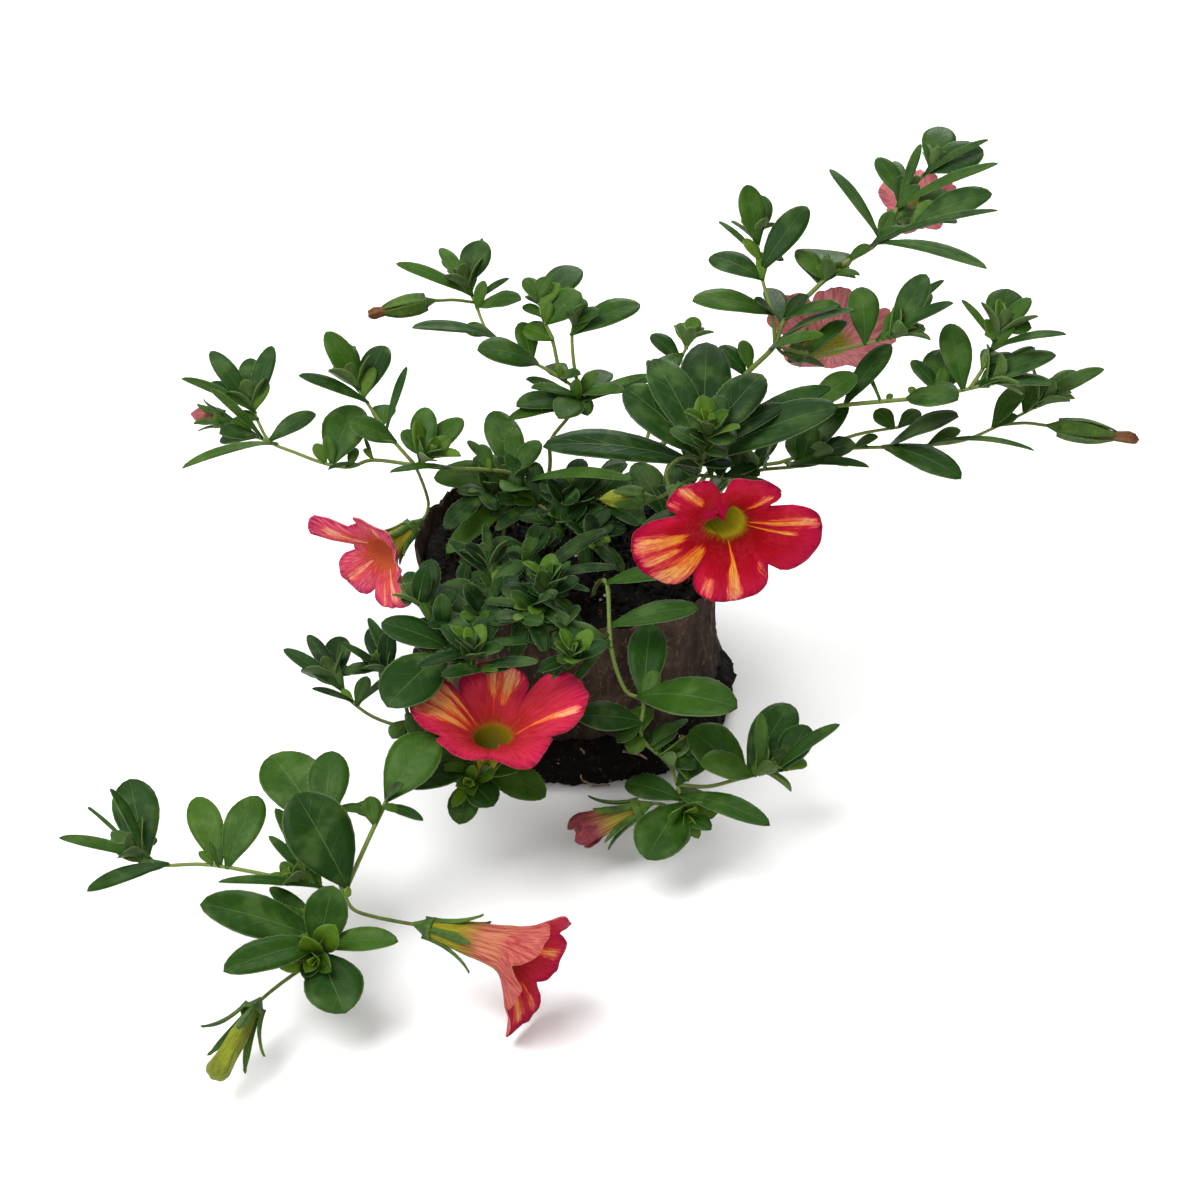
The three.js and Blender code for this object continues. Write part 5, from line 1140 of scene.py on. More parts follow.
def grow_corolla(name, flower):
    """An open corolla, ring after ring: up the tube, out along the limb, and back down its throat."""
    draw = random.Random("corolla " + name)
    piece = Piece("open_flower_" + name, ["petal", "down"])
    base, mouth = at(flower["calyx"]), at(flower["mouth"])
    start = (mouth - base).normalized()
    face = Vector(flower["face"]).normalized()
    reference = Vector((0, 1, 0)) if abs(face.z) > 0.8 else SKY
    tube_start = base + start * (CUP_HEIGHT - CUP_SEAT)
    sides = 5 * LOBE_STEPS
    turns = [360 * k / sides for k in range(sides)]
    limbs = [limb_at(flower, turn) for turn in turns]
    phases = [draw.uniform(0, 2 * math.pi) for _ in range(3)]
    foot, waist, throat = flower["tube"]
    ragged = flower["ragged"]
    seed = draw.uniform(0, 50)

    def fold(k, least=0.0):
        """How far the deepest pleat brings the throat's rim in."""
        depth = 0.0
        for turn, reach, half in flower.get("pleats", []):
            gap = (turns[k] - turn + 180) % 360 - 180
            if reach >= least:
                depth = max(depth, reach * math.exp(-(gap / half) ** 2))
        return depth

    def tear(k):
        """How far the margin is torn out or in."""
        x, y = math.cos(math.radians(turns[k])), math.sin(math.radians(turns[k]))
        return ragged * (0.09 * noise.noise(Vector((x * 3, y * 3, seed)))
                         + 0.05 * noise.noise(Vector((x * 9, y * 9, seed))))

    def ring(centre, axis, place):
        """Points round an axis, each at its own radius and rise."""
        first = (reference - axis * reference.dot(axis)).normalized()
        second = axis.cross(first)
        out = []
        for k, turn in enumerate(turns):
            radius, rise = place(k)
            angle = math.radians(turn)
            out.append(centre + axis * rise + first * (radius * math.cos(angle))
                       + second * (radius * math.sin(angle)))
        return out

    def tube(share, radius, inner=False):
        axis = start.lerp(face, share * share).normalized()

        def place(k):
            ribs = 0.05 * math.cos(math.radians(5 * (turns[k] - flower["spin"])))
            return radius * (1 - fold(k) if inner else 1 + ribs), 0
        return ring(tube_start.lerp(mouth, share), axis, place)

    def outer_radius(share):
        """The tube's radius outside, swelling to its waist and on to the throat."""
        swell = foot + (waist - foot) * min(1, share / 0.5)
        return swell + (throat - 0.05 - waist) * max(0, (share - 0.5) / 0.5) ** 1.6

    def limb(share, inset):
        """A ring of the limb, on its back or, set in by its thickness, on its face."""
        def place(k):
            length, open_, _, across = limbs[k]
            ruffle = math.radians(2.6 + 3 * ragged) * share ** 2 * sum(
                math.sin((2 + i) * math.radians(turns[k]) * 2 + phases[i]) for i in range(3)) / 1.6
            length = length * (1 + tear(k) * share ** 3)
            pleated = max(0, 1 - share / PLEAT_SPREAD) ** 2 * (inset > 0)
            wide = throat * (1 - fold(k) * pleated)
            crease = -0.3 * math.exp(-(across / 0.13) ** 2) * share * (1 - share * 0.5)
            cup = 0.25 * (1 - across ** 2) * share - 0.5 * across ** 4 * share
            bend = open_ * (LIMB_BEND + LIMB_CURL * share) + ruffle
            up = inset + crease + cup
            return (wide + length * share * math.sin(bend) - up * math.cos(bend),
                    length * share * math.cos(bend) + up * math.sin(bend))
        return ring(mouth, face, place)

    def mark_at(k, out, front):
        """The streak mark: streaks on the face, less than 0 in a pleat, and the tube's fade behind."""
        _, _, lobe, across = limbs[k]
        mark = streak_at(flower.get("streaks", {}).get(lobe, []), across, out) if out >= 0 else 0.0
        if front > 0.6 and out < 0.3:
            return mark - 4.5 * max(0, fold(k, PLEAT_SHOWS) - 0.15) * min(1, 1.5 - out * 5)
        if front < 0.6 and "fade" in flower:
            starts, ends = flower["fade"]
            return min(1.0, max(0.0, (out + 1 - starts) / (ends - starts)))
        return mark

    rows = [(tube(share, outer_radius(share)), share - 1, 0)
            for share in np.linspace(0, TUBE_END, TUBE_RINGS)]
    rows += [(limb(share, 0), share, 0) for share in LIMB_SHARES]
    rows += [(limb(1, PETAL_THICKNESS / 2), 1, 0.5)]
    rows += [(limb(share, PETAL_THICKNESS), share, 1) for share in reversed(LIMB_SHARES)]
    rows += [(tube(share, (throat - 0.4) * width, True), share - 1, 1) for share, width in THROAT_RINGS]
    points = [point for ring_points, _, _ in rows for point in ring_points]
    marks = [(front, flower["pale"] if front < 0.6 else flower["green"], mark_at(k, out, front),
              flower["blush"]) for _, out, front in rows for k in range(sides)]
    faces, _ = ring_faces(len(rows), sides)
    spots = []
    for corners in faces:
        for corner in corners:
            row, column = divmod(corner, sides)
            closing = len(corners) == 4 and column == 0 and corners[0] % sides == sides - 1
            around = 1.0 if closing else column / sides
            spots.append((around * 5 - flower["spin"] / LOBE_ANGLE, rows[row][1]))
    piece.add(points, faces, spots, "petal", marks)
    for _ in range(TUBE_HAIRS):
        share = draw.random() ** 1.3 * 0.95
        ring_points, place, _ = rows[min(TUBE_RINGS - 1, int(share * TUBE_RINGS))]
        root = ring_points[draw.randrange(sides)]
        away = (root - tube_start.lerp(mouth, place + 1)).normalized()
        out = (away + start * 0.3).normalized()
        add_hair(piece, root, out, draw.uniform(0.3, 0.7), TUBE_HAIR_RADIUS)
    return piece.make()


def grow_bud(name, bud):
    """A closed, half open or withered corolla, as one ridged bar."""
    draw = random.Random("bud " + name)
    piece = Piece("bud_petals_" + name, [bud["finish"], "rose", "down"])
    base, end = at(bud["calyx"]), at(bud["end"])
    axis = (end - base).normalized()
    start = base + axis * (CUP_HEIGHT - CUP_SEAT)
    first = base + axis * (CUP_HEIGHT + GAP)
    form = BUD_FORMS[bud["form"]]
    outline = form["outline"]
    points = [start, *[first.lerp(end, share) for share, _ in outline], end + axis * 0.35]
    radii = [radius * form["slim"] for radius in [outline[0][1], *[radius for _, radius in outline]]]
    radii.append(outline[-1][1] * 0.45)
    if bud["form"] == "spent":
        side = sideways(axis)
        for i in range(2, len(points) - 1):
            points[i] = points[i] + side * draw.uniform(-0.35, 0.35) + SKY * draw.uniform(-0.3, 0.2)
    way, sizes = add_bar(piece, points, radii, bud["finish"], sides=30, steps=6,
                         marks=(draw.random(), 0.5, 0.0, 0.0), ridges=form["ridges"],
                         twist=form["twist"], ripen=form["ripen"])
    if bud["form"] == "opening":
        for k in range(5):
            out = turned(sideways(axis), axis, math.radians(LOBE_ANGLE * k + 20))
            along = (axis + out * draw.uniform(0.1, 0.4) - SKY * 0.1).normalized()
            normal = (out - along * out.dot(along)).normalized()
            lobe = {"root": start.lerp(end, 0.62) + out * 1.6, "along": along, "normal": normal,
                    "length": draw.uniform(4.5, 6), "width": draw.uniform(3.4, 4.4), "young": 0.5}
            add_leaf(piece, lobe, draw, "rose")
    hair_on_bar(piece, way, sizes, draw, length=0.5)
    return piece.make()


# ------------------------------------------------------------------------------ finishes
# Sockets of the node that mixes two colours; they share their names, so they go by number.
MIX_SHARE, MIX_A, MIX_B, MIX_RESULT = 0, 6, 7, 2


class Finish:
    """A material's node tree, with short calls for the nodes that it is built from."""

    def __init__(self, name, tree=None):
        if tree is None:
            self.material = bpy.data.materials.new(name)
            self.material.use_nodes = True
            tree = self.material.node_tree
            self.shader = tree.nodes["Principled BSDF"]
        self.tree = tree

    def put(self, kind, feeds=(), **settings):
        made = self.tree.nodes.new(kind)
        for key, value in settings.items():
            setattr(made, key, value)
        for key, value in dict(feeds).items():
            self.feed(made.inputs[key], value)
        return made

    def feed(self, socket, value):
        if isinstance(value, bpy.types.NodeSocket):
            self.tree.links.new(value, socket)
        else:
            socket.default_value = value

    def maths(self, operation, a, b=0.0, clamp=False):
        made = self.put("ShaderNodeMath", {0: a, 1: b}, operation=operation, use_clamp=clamp)
        return made.outputs[0]

    def plus(self, a, b):
        return self.maths("ADD", a, b)

    def less(self, a, b, clamp=False):
        return self.maths("SUBTRACT", a, b, clamp)

    def times(self, a, b, clamp=False):
        return self.maths("MULTIPLY", a, b, clamp)

    def swing(self, value, size):
        """A value of 0 to 1 made to swing about nought."""
        return self.times(self.less(value, 0.5), size)

    def mix(self, share, a, b):
        feeds = {MIX_SHARE: share, MIX_A: colour(a), MIX_B: colour(b)}
        return self.put("ShaderNodeMix", feeds, data_type="RGBA").outputs[MIX_RESULT]

    def ramp(self, value, *stops):
        made = self.put("ShaderNodeValToRGB", {0: value})
        band = made.color_ramp
        while len(band.elements) < len(stops):
            band.elements.new(0.5)
        for element, (place, tint) in zip(band.elements, stops):
            element.position, element.color = place, colour(tint)
        return made.outputs[0]

    def span(self, value, low, high, to_low=0.0, to_high=1.0):
        feeds = {"Value": value, "From Min": low, "From Max": high, "To Min": to_low, "To Max": to_high}
        return self.put("ShaderNodeMapRange", feeds, interpolation_type="SMOOTHSTEP").outputs[0]

    def noise(self, vector, scale, detail=3.0, rough=0.55, twist=0.0):
        made = self.put("ShaderNodeTexNoise", {"Vector": vector, "Scale": scale, "Detail": detail,
                                               "Roughness": rough, "Distortion": twist})
        return made.outputs[0]

    def stretched(self, vector, scale, location=(0, 0, 0)):
        feeds = {"Vector": vector, "Scale": scale, "Location": location}
        return self.put("ShaderNodeMapping", feeds).outputs[0]

    def mark(self, name):
        return self.put("ShaderNodeAttribute", attribute_name=name).outputs["Fac"]

    def grain(self):
        """A piece's own map, what crosses or goes round it, and what runs along it."""
        uv = self.put("ShaderNodeUVMap", uv_map="grain").outputs[0]
        parts = self.put("ShaderNodeSeparateXYZ", {0: uv})
        return uv, parts.outputs[0], parts.outputs[1]

    def place(self):
        return self.put("ShaderNodeTexCoord").outputs["Object"]

    def group(self, name, **feeds):
        made = self.put("ShaderNodeGroup", node_tree=bpy.data.node_groups[name])
        for key, value in feeds.items():
            self.feed(made.inputs[key.replace("_", " ").title()], value)
        return made.outputs

    def mottle(self, broad, fine):
        return self.group("mottle", vector=self.place(), broad=broad, fine=fine)[0]

    def down(self, scale):
        return self.group("downy surface", vector=self.place(), scale=scale)[0]

    def bump(self, height, strength, distance):
        feeds = {"Height": height, "Strength": strength, "Distance": distance}
        self.feed(self.shader.inputs["Normal"], self.put("ShaderNodeBump", feeds).outputs[0])

    def wear(self, base, rough, **fixed):
        self.feed(self.shader.inputs["Base Color"], base)
        self.feed(self.shader.inputs["Roughness"], rough)
        for key, value in fixed.items():
            socket = key.replace("_", " ").title().replace("Ior", "IOR")
            self.shader.inputs[socket].default_value = value
        return self.material


def colour(value):
    """A colour from (red, green, blue) as seen on a screen, 0 to 255, made linear."""
    if isinstance(value, bpy.types.NodeSocket):
        return value
    parts = [v / 255 for v in value]
    return (*[v / 12.92 if v <= 0.04045 else ((v + 0.055) / 1.055) ** 2.4 for v in parts], 1.0)


def effect(name, feeds, gives):
    """A node group with named inputs and outputs; returns its tree as a Finish and its two ends."""
    tree = bpy.data.node_groups.new(name, "ShaderNodeTree")
    for label, kind, value in feeds:
        socket = tree.interface.new_socket(label, in_out="INPUT", socket_type=kind)
        if value is not None:
            socket.default_value = value
    for label, kind in gives:
        tree.interface.new_socket(label, in_out="OUTPUT", socket_type=kind)
    work = Finish(name, tree)
    return work, tree.nodes.new("NodeGroupInput"), tree.nodes.new("NodeGroupOutput")


def make_mottle():
    """Uneven colour of grown tissue: a broad drift and a fine speckle, 0 to 1 about one half."""
    work, given, made = effect("mottle", [("Vector", "NodeSocketVector", None),
                                          ("Broad", "NodeSocketFloat", 90.0),
                                          ("Fine", "NodeSocketFloat", 900.0)],
                               [("Value", "NodeSocketFloat")])
    broad = work.noise(given.outputs[0], given.outputs[1], 2.0)
    fine = work.noise(given.outputs[0], given.outputs[2], 2.0)
    work.feed(made.inputs[0], work.plus(work.times(broad, 0.6), work.times(fine, 0.4)))


def make_down_bump():
    """The tiny hair bases and pores of a downy surface, as a height."""
    work, given, made = effect("downy surface", [("Vector", "NodeSocketVector", None),
                                                 ("Scale", "NodeSocketFloat", 1500.0)],
                               [("Height", "NodeSocketFloat")])
    dots = work.put("ShaderNodeTexVoronoi", {"Vector": given.outputs[0], "Scale": given.outputs[1]})
    bump = work.less(1.0, dots.outputs["Distance"])
    work.feed(made.inputs[0], work.maths("POWER", bump, 3.0))


def make_leaf():
    work = Finish("leaf green, downy, with a pale midrib")
    uv, across, along = work.grain()
    below = work.maths("GREATER_THAN", across, 1.5)
    across = work.maths("FRACT", across)
    away = work.times(work.maths("ABSOLUTE", work.less(across, 0.5)), 2.0)
    tone, young = work.mark("tone"), work.mark("young")
    mottle = work.mottle(110.0, 1100.0)
    old = work.ramp(tone, (0.0, (7, 34, 3)), (0.45, (26, 60, 5)), (0.8, (48, 82, 9)),
                    (1.0, (72, 103, 22)))
    fresh = work.mix(tone, (58, 94, 10), (104, 134, 24))
    top = work.mix(work.times(young, 0.95, clamp=True), old, fresh)
    under = work.mix(0.6, top, (92, 112, 72))
    base = work.mix(below, top, under)
    # Paler patches from a broad noise: a painted sheen.
    painted_sheen = work.noise(work.place(), 170.0, 2.0)
    base = work.mix(work.span(painted_sheen, 0.45, 0.7, 0.0, 0.35), base, (88, 116, 56))
    base = work.mix(work.span(mottle, 0.3, 0.7, 0.0, 0.4), base, (14, 32, 10))
    rib_width = work.less(0.085, work.times(along, 0.06))
    rib = work.less(1.0, work.span(away, 0.0, rib_width), clamp=True)
    slant = work.less(work.times(along, 7.0), work.times(away, 1.8))
    wobble = work.times(work.noise(work.stretched(uv, (3.0, 5.0, 1.0)), 2.0, 1.0), 0.35)
    wave = work.maths("FRACT", work.plus(slant, wobble))
    wave = work.maths("ABSOLUTE", work.less(wave, 0.5))
    vein = work.less(1.0, work.span(wave, 0.0, 0.1), clamp=True)
    vein = work.times(vein, work.span(away, 0.95, 0.3))
    margin = work.span(away, 0.93, 0.99)
    pale = work.mix(young, (78, 102, 54), (132, 156, 60))
    base = work.mix(work.times(rib, 0.6), base, pale)
    base = work.mix(work.times(vein, 0.08), base, pale)
    base = work.mix(work.times(margin, 0.4), base, (108, 130, 84))
    sunk = work.times(work.plus(rib, work.times(vein, 0.6)), -1.0)
    height = work.plus(sunk, work.times(work.down(1700.0), 0.35))
    work.bump(height, 0.4, 0.00018)
    rough = work.span(mottle, 0.2, 0.8, 0.42, 0.58)
    return work.wear(base, rough, specular_ior_level=0.11)


def make_stem():
    work = Finish("stem, light olive green, downy")
    uv = work.grain()[0]
    mottle = work.mottle(60.0, 800.0)
    lines = work.noise(work.stretched(uv, (9.0, 1.0, 1.0)), 3.0, 2.0)
    young = work.mark("young")
    base = work.mix(work.span(mottle, 0.3, 0.7), (54, 70, 22), (94, 110, 44))
    base = work.mix(work.span(lines, 0.45, 0.7, 0.0, 0.5), base, (76, 66, 38))
    base = work.mix(work.span(young, 0.3, 0.7, 0.0, 0.7), base, (118, 136, 66))
    height = work.plus(lines, work.down(2000.0))
    work.bump(height, 0.4, 0.00012)
    return work.wear(base, work.span(lines, 0.2, 0.8, 0.5, 0.68), specular_ior_level=0.18)


def make_calyx():
    work = Finish("calyx and sepals, grey green, downy")
    uv = work.grain()[0]
    mottle = work.mottle(160.0, 1200.0)
    ribs = work.noise(work.stretched(uv, (10.0, 1.0, 1.0)), 2.5, 2.0)
    base = work.mix(work.span(mottle, 0.3, 0.7), (36, 64, 12), (70, 100, 24))
    base = work.mix(work.span(ribs, 0.5, 0.75, 0.0, 0.4), base, (98, 120, 46))
    height = work.plus(ribs, work.down(1800.0))
    work.bump(height, 0.5, 0.00015)
    rough = work.span(ribs, 0.2, 0.8, 0.52, 0.7)
    return work.wear(base, rough, sheen_weight=0.05, specular_ior_level=0.2)


def make_down():
    work = Finish("fine pale hairs")
    mottle = work.mottle(200.0, 2000.0)
    base = work.mix(work.span(mottle, 0.3, 0.7), (120, 138, 92), (176, 186, 146))
    return work.wear(base, work.span(mottle, 0.3, 0.7, 0.45, 0.6), specular_ior_level=0.4)


def make_petal():
    """Both faces of a corolla: "tone" is 1 on its face and 0 on its back, and "young" is how green
    its throat is and how pale its back."""
    work = Finish("petal, red with magenta edges and yellow streaks")
    uv, _, out = work.grain()
    front, extra, streak, blush = [work.mark(label) for label in MARKS]
    mottle = work.mottle(220.0, 1400.0)
    rays = work.noise(work.stretched(uv, (11.0, 1.3, 1.0)), 1.6, 4.0, 0.6)
    fine_rays = work.noise(work.stretched(uv, (34.0, 2.4, 1.0)), 1.5, 3.0, 0.6)
    feathered_out = work.plus(out, work.swing(rays, 0.35))

    # The limb's face: red, magenta at its margin; coral where it blushes; darker and paler rays.
    face = work.ramp(feathered_out, (0.0, (118, 84, 8)), (0.045, (112, 12, 4)), (0.2, (132, 3, 12)),
                     (0.5, (152, 8, 26)), (0.8, (166, 16, 46)), (0.93, (158, 6, 52)),
                     (1.0, (120, 2, 40)))
    coral = work.ramp(feathered_out, (0.0, (176, 84, 22)), (0.18, (184, 60, 50)), (0.5, (190, 74, 90)),
                      (0.8, (186, 62, 94)), (1.0, (144, 30, 72)))
    coral = work.mix(work.span(fine_rays, 0.5, 0.36, 0.0, 0.5), coral, (212, 134, 128))
    face = work.mix(work.times(blush, 0.9), face, coral)
    face = work.mix(work.span(fine_rays, 0.5, 0.72, 0.0, 0.55), face, (100, 2, 14))
    face = work.mix(work.span(mottle, 0.4, 0.7, 0.0, 0.3), face, (184, 48, 62))

    # Its streaks: an orange glow with a yellow heart, feathered at their edges and finely lined.
    spotted = work.noise(work.stretched(uv, (28.0, 3.0, 1.0), (3.0, 1.0, 0.0)), 1.4, 4.0, 0.65)
    feather = work.plus(streak, work.swing(rays, 0.9))
    feather = work.plus(feather, work.swing(spotted, 1.05))
    feather = work.times(feather, work.span(streak, 0.02, 0.25))
    lines = work.noise(work.stretched(uv, (26.0, 1.1, 1.0), (1.0, 5.0, 0.0)), 1.6, 3.0, 0.6)
    heart = work.times(work.span(feather, 0.48, 0.72), work.span(lines, 0.6, 0.46, 0.25, 1.0))
    heart = work.times(heart, work.span(mottle, 0.62, 0.46, 0.45, 1.0))
    orange = work.ramp(feathered_out, (0.1, (170, 38, 10)), (0.5, (192, 62, 34)), (1.0, (198, 72, 78)))
    yellow = work.ramp(feathered_out, (0.0, (178, 100, 14)), (0.35, (202, 136, 40)),
                       (0.75, (212, 158, 84)), (1.0, (208, 138, 110)))
    yellow = work.mix(blush, yellow, (214, 148, 134))
    face = work.mix(work.span(feather, 0.32, 0.5), face, orange)
    face = work.mix(heart, face, yellow)

    # The throat, deeper in colour further down, and the magenta fold of a pleat.
    depth = work.span(out, -0.02, -0.35)
    throat = work.mix(depth, work.mix(extra, (160, 148, 24), (106, 92, 14)),
                      work.mix(extra, (108, 108, 14), (60, 62, 8)))
    throat = work.mix(work.span(fine_rays, 0.45, 0.7, 0.0, 0.5), throat, (118, 74, 16))
    warm = work.mix(fine_rays, (198, 104, 64), (160, 50, 40))
    throat = work.mix(work.span(blush, 0.5, 1.0), throat, warm)
    face = work.mix(work.span(out, 0.01, -0.05), face, throat)
    face = work.mix(work.span(streak, -0.35, -0.75), face, (150, 6, 46))

    # The back of the limb, pale or deep, and the tube, veined yellow green or faded to rose.
    broad_rays = work.span(rays, 0.35, 0.7)
    pale_back = work.mix(broad_rays, (178, 106, 88), (146, 48, 54))
    pink_back = work.mix(broad_rays, (206, 134, 134), (178, 84, 96))
    pale_back = work.mix(work.span(blush, 0.4, 0.8), pale_back, pink_back)
    deep_back = work.mix(broad_rays, (160, 40, 54), (128, 14, 38))
    back = work.mix(extra, deep_back, pale_back)
    back = work.mix(work.span(fine_rays, 0.48, 0.66, 0.0, 0.6), back, (132, 40, 52))
    tube = work.mix(work.span(fine_rays, 0.42, 0.62), (138, 134, 32), (66, 60, 16))
    tube = work.mix(work.span(rays, 0.4, 0.7, 0.0, 0.4), tube, (164, 142, 52))
    faded = work.mix(work.span(rays, 0.4, 0.62), (174, 110, 82), (140, 50, 52))
    tube = work.mix(streak, tube, faded)
    back = work.mix(work.span(out, 0.28, -0.1), back, tube)

    height = work.plus(work.times(fine_rays, 0.8), work.times(mottle, 0.5))
    work.bump(height, 0.35, 0.0002)
    rough = work.span(mottle, 0.2, 0.8, 0.5, 0.66)
    return work.wear(work.mix(front, back, face), rough, specular_ior_level=0.03)


def make_bud(name, light, dark, line, lined, foot=None):
    """A closed or withered corolla: mottled, lined, and of its own colour at its foot."""
    work = Finish(name)
    uv, _, along = work.grain()
    mottle = work.mottle(240.0, 1500.0)
    lines = work.noise(work.stretched(uv, (16.0, 0.7, 1.0)), 2.0, 4.0, 0.62)
    base = work.mix(work.span(mottle, 0.3, 0.7), light, dark)
    if foot:
        base = work.mix(work.span(along, 0.35, 0.75), foot, base)
    base = work.mix(work.span(lines, 0.46, 0.64, 0.0, lined), base, line)
    work.bump(work.plus(lines, work.times(mottle, 0.4)), 0.6, 0.0003)
    return work.wear(base, work.span(mottle, 0.2, 0.8, 0.5, 0.75), specular_ior_level=0.2)


def make_paper():
    work = Finish("plug paper, brown, fibrous, damp in places")
    place = work.place()
    broad = work.noise(work.stretched(place, (1.0, 1.0, 0.6)), 85.0, 6.0, 0.66, 0.4)
    fibre = work.noise(work.stretched(place, (1.0, 1.0, 0.55)), 620.0, 6.0, 0.78, 1.4)
    speck = work.noise(place, 2600.0, 2.0)
    low = work.put("ShaderNodeSeparateXYZ", {0: place}).outputs[2]
    base = work.ramp(broad, (0.3, (26, 18, 14)), (0.5, (54, 40, 32)), (0.7, (92, 74, 60)))
    base = work.mix(work.span(fibre, 0.52, 0.68, 0.0, 0.6), base, (124, 106, 88))
    base = work.mix(work.span(fibre, 0.46, 0.3, 0.0, 0.5), base, (20, 13, 11))
    base = work.mix(work.span(speck, 0.56, 0.7, 0.0, 0.35), base, (28, 19, 16))
    damp = work.plus(low, work.swing(broad, 0.03))
    base = work.mix(work.span(damp, 0.02, 0.008, 0.0, 0.8), base, (18, 13, 11))
    base = work.mix(work.span(damp, 0.035, 0.04, 0.0, 0.45), base, (40, 30, 26))
    height = work.plus(fibre, work.plus(work.times(speck, 0.3), broad))
    work.bump(height, 0.7, 0.0005)
    return work.wear(base, work.span(fibre, 0.3, 0.7, 0.78, 0.94), specular_ior_level=0.1)


def make_peat():
    work = Finish("peat, dark and damp, with fibres")
    place = work.place()
    crumb = work.noise(place, 420.0, 5.0, 0.7)
    fibre = work.noise(work.stretched(place, (1.0, 0.3, 1.0)), 1200.0, 3.0, 0.6, 1.2)
    base = work.ramp(crumb, (0.3, (3, 2, 2)), (0.55, (10, 7, 5)), (0.75, (34, 25, 18)))
    base = work.mix(work.span(fibre, 0.62, 0.74, 0.0, 0.7), base, (96, 72, 52))
    work.bump(work.plus(crumb, work.times(fibre, 0.4)), 0.9, 0.0009)
    return work.wear(base, work.span(crumb, 0.3, 0.7, 0.7, 0.95), specular_ior_level=0.08)


def make_grit():
    work = Finish("perlite, off white and porous")
    place = work.place()
    pores = work.noise(place, 2200.0, 3.0)
    base = work.ramp(pores, (0.35, (96, 84, 70)), (0.5, (158, 150, 138)), (0.7, (204, 198, 188)))
    work.bump(pores, 0.7, 0.0003)
    return work.wear(base, work.span(pores, 0.3, 0.7, 0.7, 0.9))


def make_root():
    work = Finish("roots, tan, drying")
    place = work.place()
    patchy = work.noise(place, 500.0, 3.0)
    base = work.ramp(patchy, (0.35, (62, 46, 34)), (0.55, (134, 108, 82)), (0.75, (176, 152, 122)))
    work.bump(patchy, 0.5, 0.0002)
    return work.wear(base, work.span(patchy, 0.3, 0.7, 0.6, 0.85))


make_mottle()
make_down_bump()
FINISHES = {
    "leaf": make_leaf(), "stem": make_stem(), "calyx": make_calyx(), "down": make_down(),
    "petal": make_petal(), "paper": make_paper(), "peat": make_peat(), "grit": make_grit(),
    "root": make_root(),
    "bud_yellow": make_bud("bud, yellow green", (132, 138, 34), (96, 112, 22), (86, 78, 20), 0.7),
    "withered": make_bud("withered corolla, brown", (128, 84, 46), (92, 54, 32), (56, 34, 24), 0.85),
    "bud_pink": make_bud("bud, dusty pink with dark lines", (170, 96, 90), (134, 62, 70),
                         (80, 42, 46), 0.8),
    "fading": make_bud("fading corolla, dusty rose on a yellow tube", (150, 72, 72), (112, 40, 50),
                       (84, 34, 34), 0.7, (150, 142, 44)),
    "rose": make_bud("folded lobes, dusty rose", (150, 70, 74), (108, 36, 48), (70, 26, 32), 0.7),
}


# ------------------------------------------------------------------------------ the plug
def plug_radius(turn, rx, ry):
    """The plug is a round with slightly squared sides."""
    x, y = abs(math.cos(turn) / rx), abs(math.sin(turn) / ry)
    return (x ** PLUG_POWER + y ** PLUG_POWER) ** (-1 / PLUG_POWER)


def folds(turn):
    """The plug isn't quite even round its side."""
    return 0.4 * math.sin(5 * turn + 1) + 0.3 * math.sin(8 * turn + 2.3)


def rim_height(turn):
    """The sleeve's rim stands highest at the back left."""
    return SLEEVE_RIM + 1.3 * math.cos(turn - math.radians(160)) + 0.6 * math.sin(6 * turn + 0.5)


def uneven(turn, turns, height):
    """A smooth unevenness round the plug, from -1 to 1."""
    return noise.noise(Vector((math.cos(turn) * turns, math.sin(turn) * turns, height)))


def wrinkle(turn, height, turns, size, seed):
    """Creases that run up and down the paper; ridged, and uneven from place to place."""
    spot = Vector((math.cos(turn) * turns, math.sin(turn) * turns, height * 0.012 * turns + seed))
    return size * (1 - 2 * abs(noise.noise(spot)))


def grow_sleeve():
    """The paper round the plug: drawn in at its waist, creased and folded, with ragged edges."""
    piece = Piece("sleeve_paper", ["paper"])
    sides, rows = 300, 34
    outer, inner = [], []
    for i in range(rows + 1):
        share = i / rows
        for k in range(sides):
            turn = 2 * math.pi * k / sides
            ragged = 1.0 * uneven(turn, 11, 3) + 0.6 * uneven(turn, 40, 7)
            low, high = SLEEVE_FOOT + 0.4 + ragged, rim_height(turn) - 0.5 + ragged
            z = low + (high - low) * share
            below = z < SLEEVE_WAIST
            waist = max(0.0, 1 - ((z - SLEEVE_WAIST) / (10 if below else 17.5)) ** 2)
            rx = PLUG_RX - 1.6 * waist - 0.2 * (1 - share)
            ry = PLUG_RY - 1.0 * waist
            radius = plug_radius(turn, rx, ry) + folds(turn)
            radius += wrinkle(turn, z, 5, 0.5, 1) + wrinkle(turn, z, 13, 0.3, 5) - 0.6
            radius += wrinkle(turn + z * 0.02, z * 2.4, 8, 0.28, 9)
            radius += 0.4 * uneven(turn, 4, z * 0.14)
            radius += 0.16 * uneven(turn, 30, z * 0.9)
            for wall, inset in ((outer, 0.0), (inner, PAPER if 0 < i < rows else 0.3)):
                size = radius - inset
                wall.append(Vector((size * math.cos(turn), size * math.sin(turn), z)))
    rings = outer + [inner[i * sides + k] for i in reversed(range(rows + 1)) for k in range(sides)]
    faces, maps = ring_faces(2 * (rows + 1), sides, False, False, loop=True)
    piece.add(rings, faces, maps, "paper")
    return piece.make()


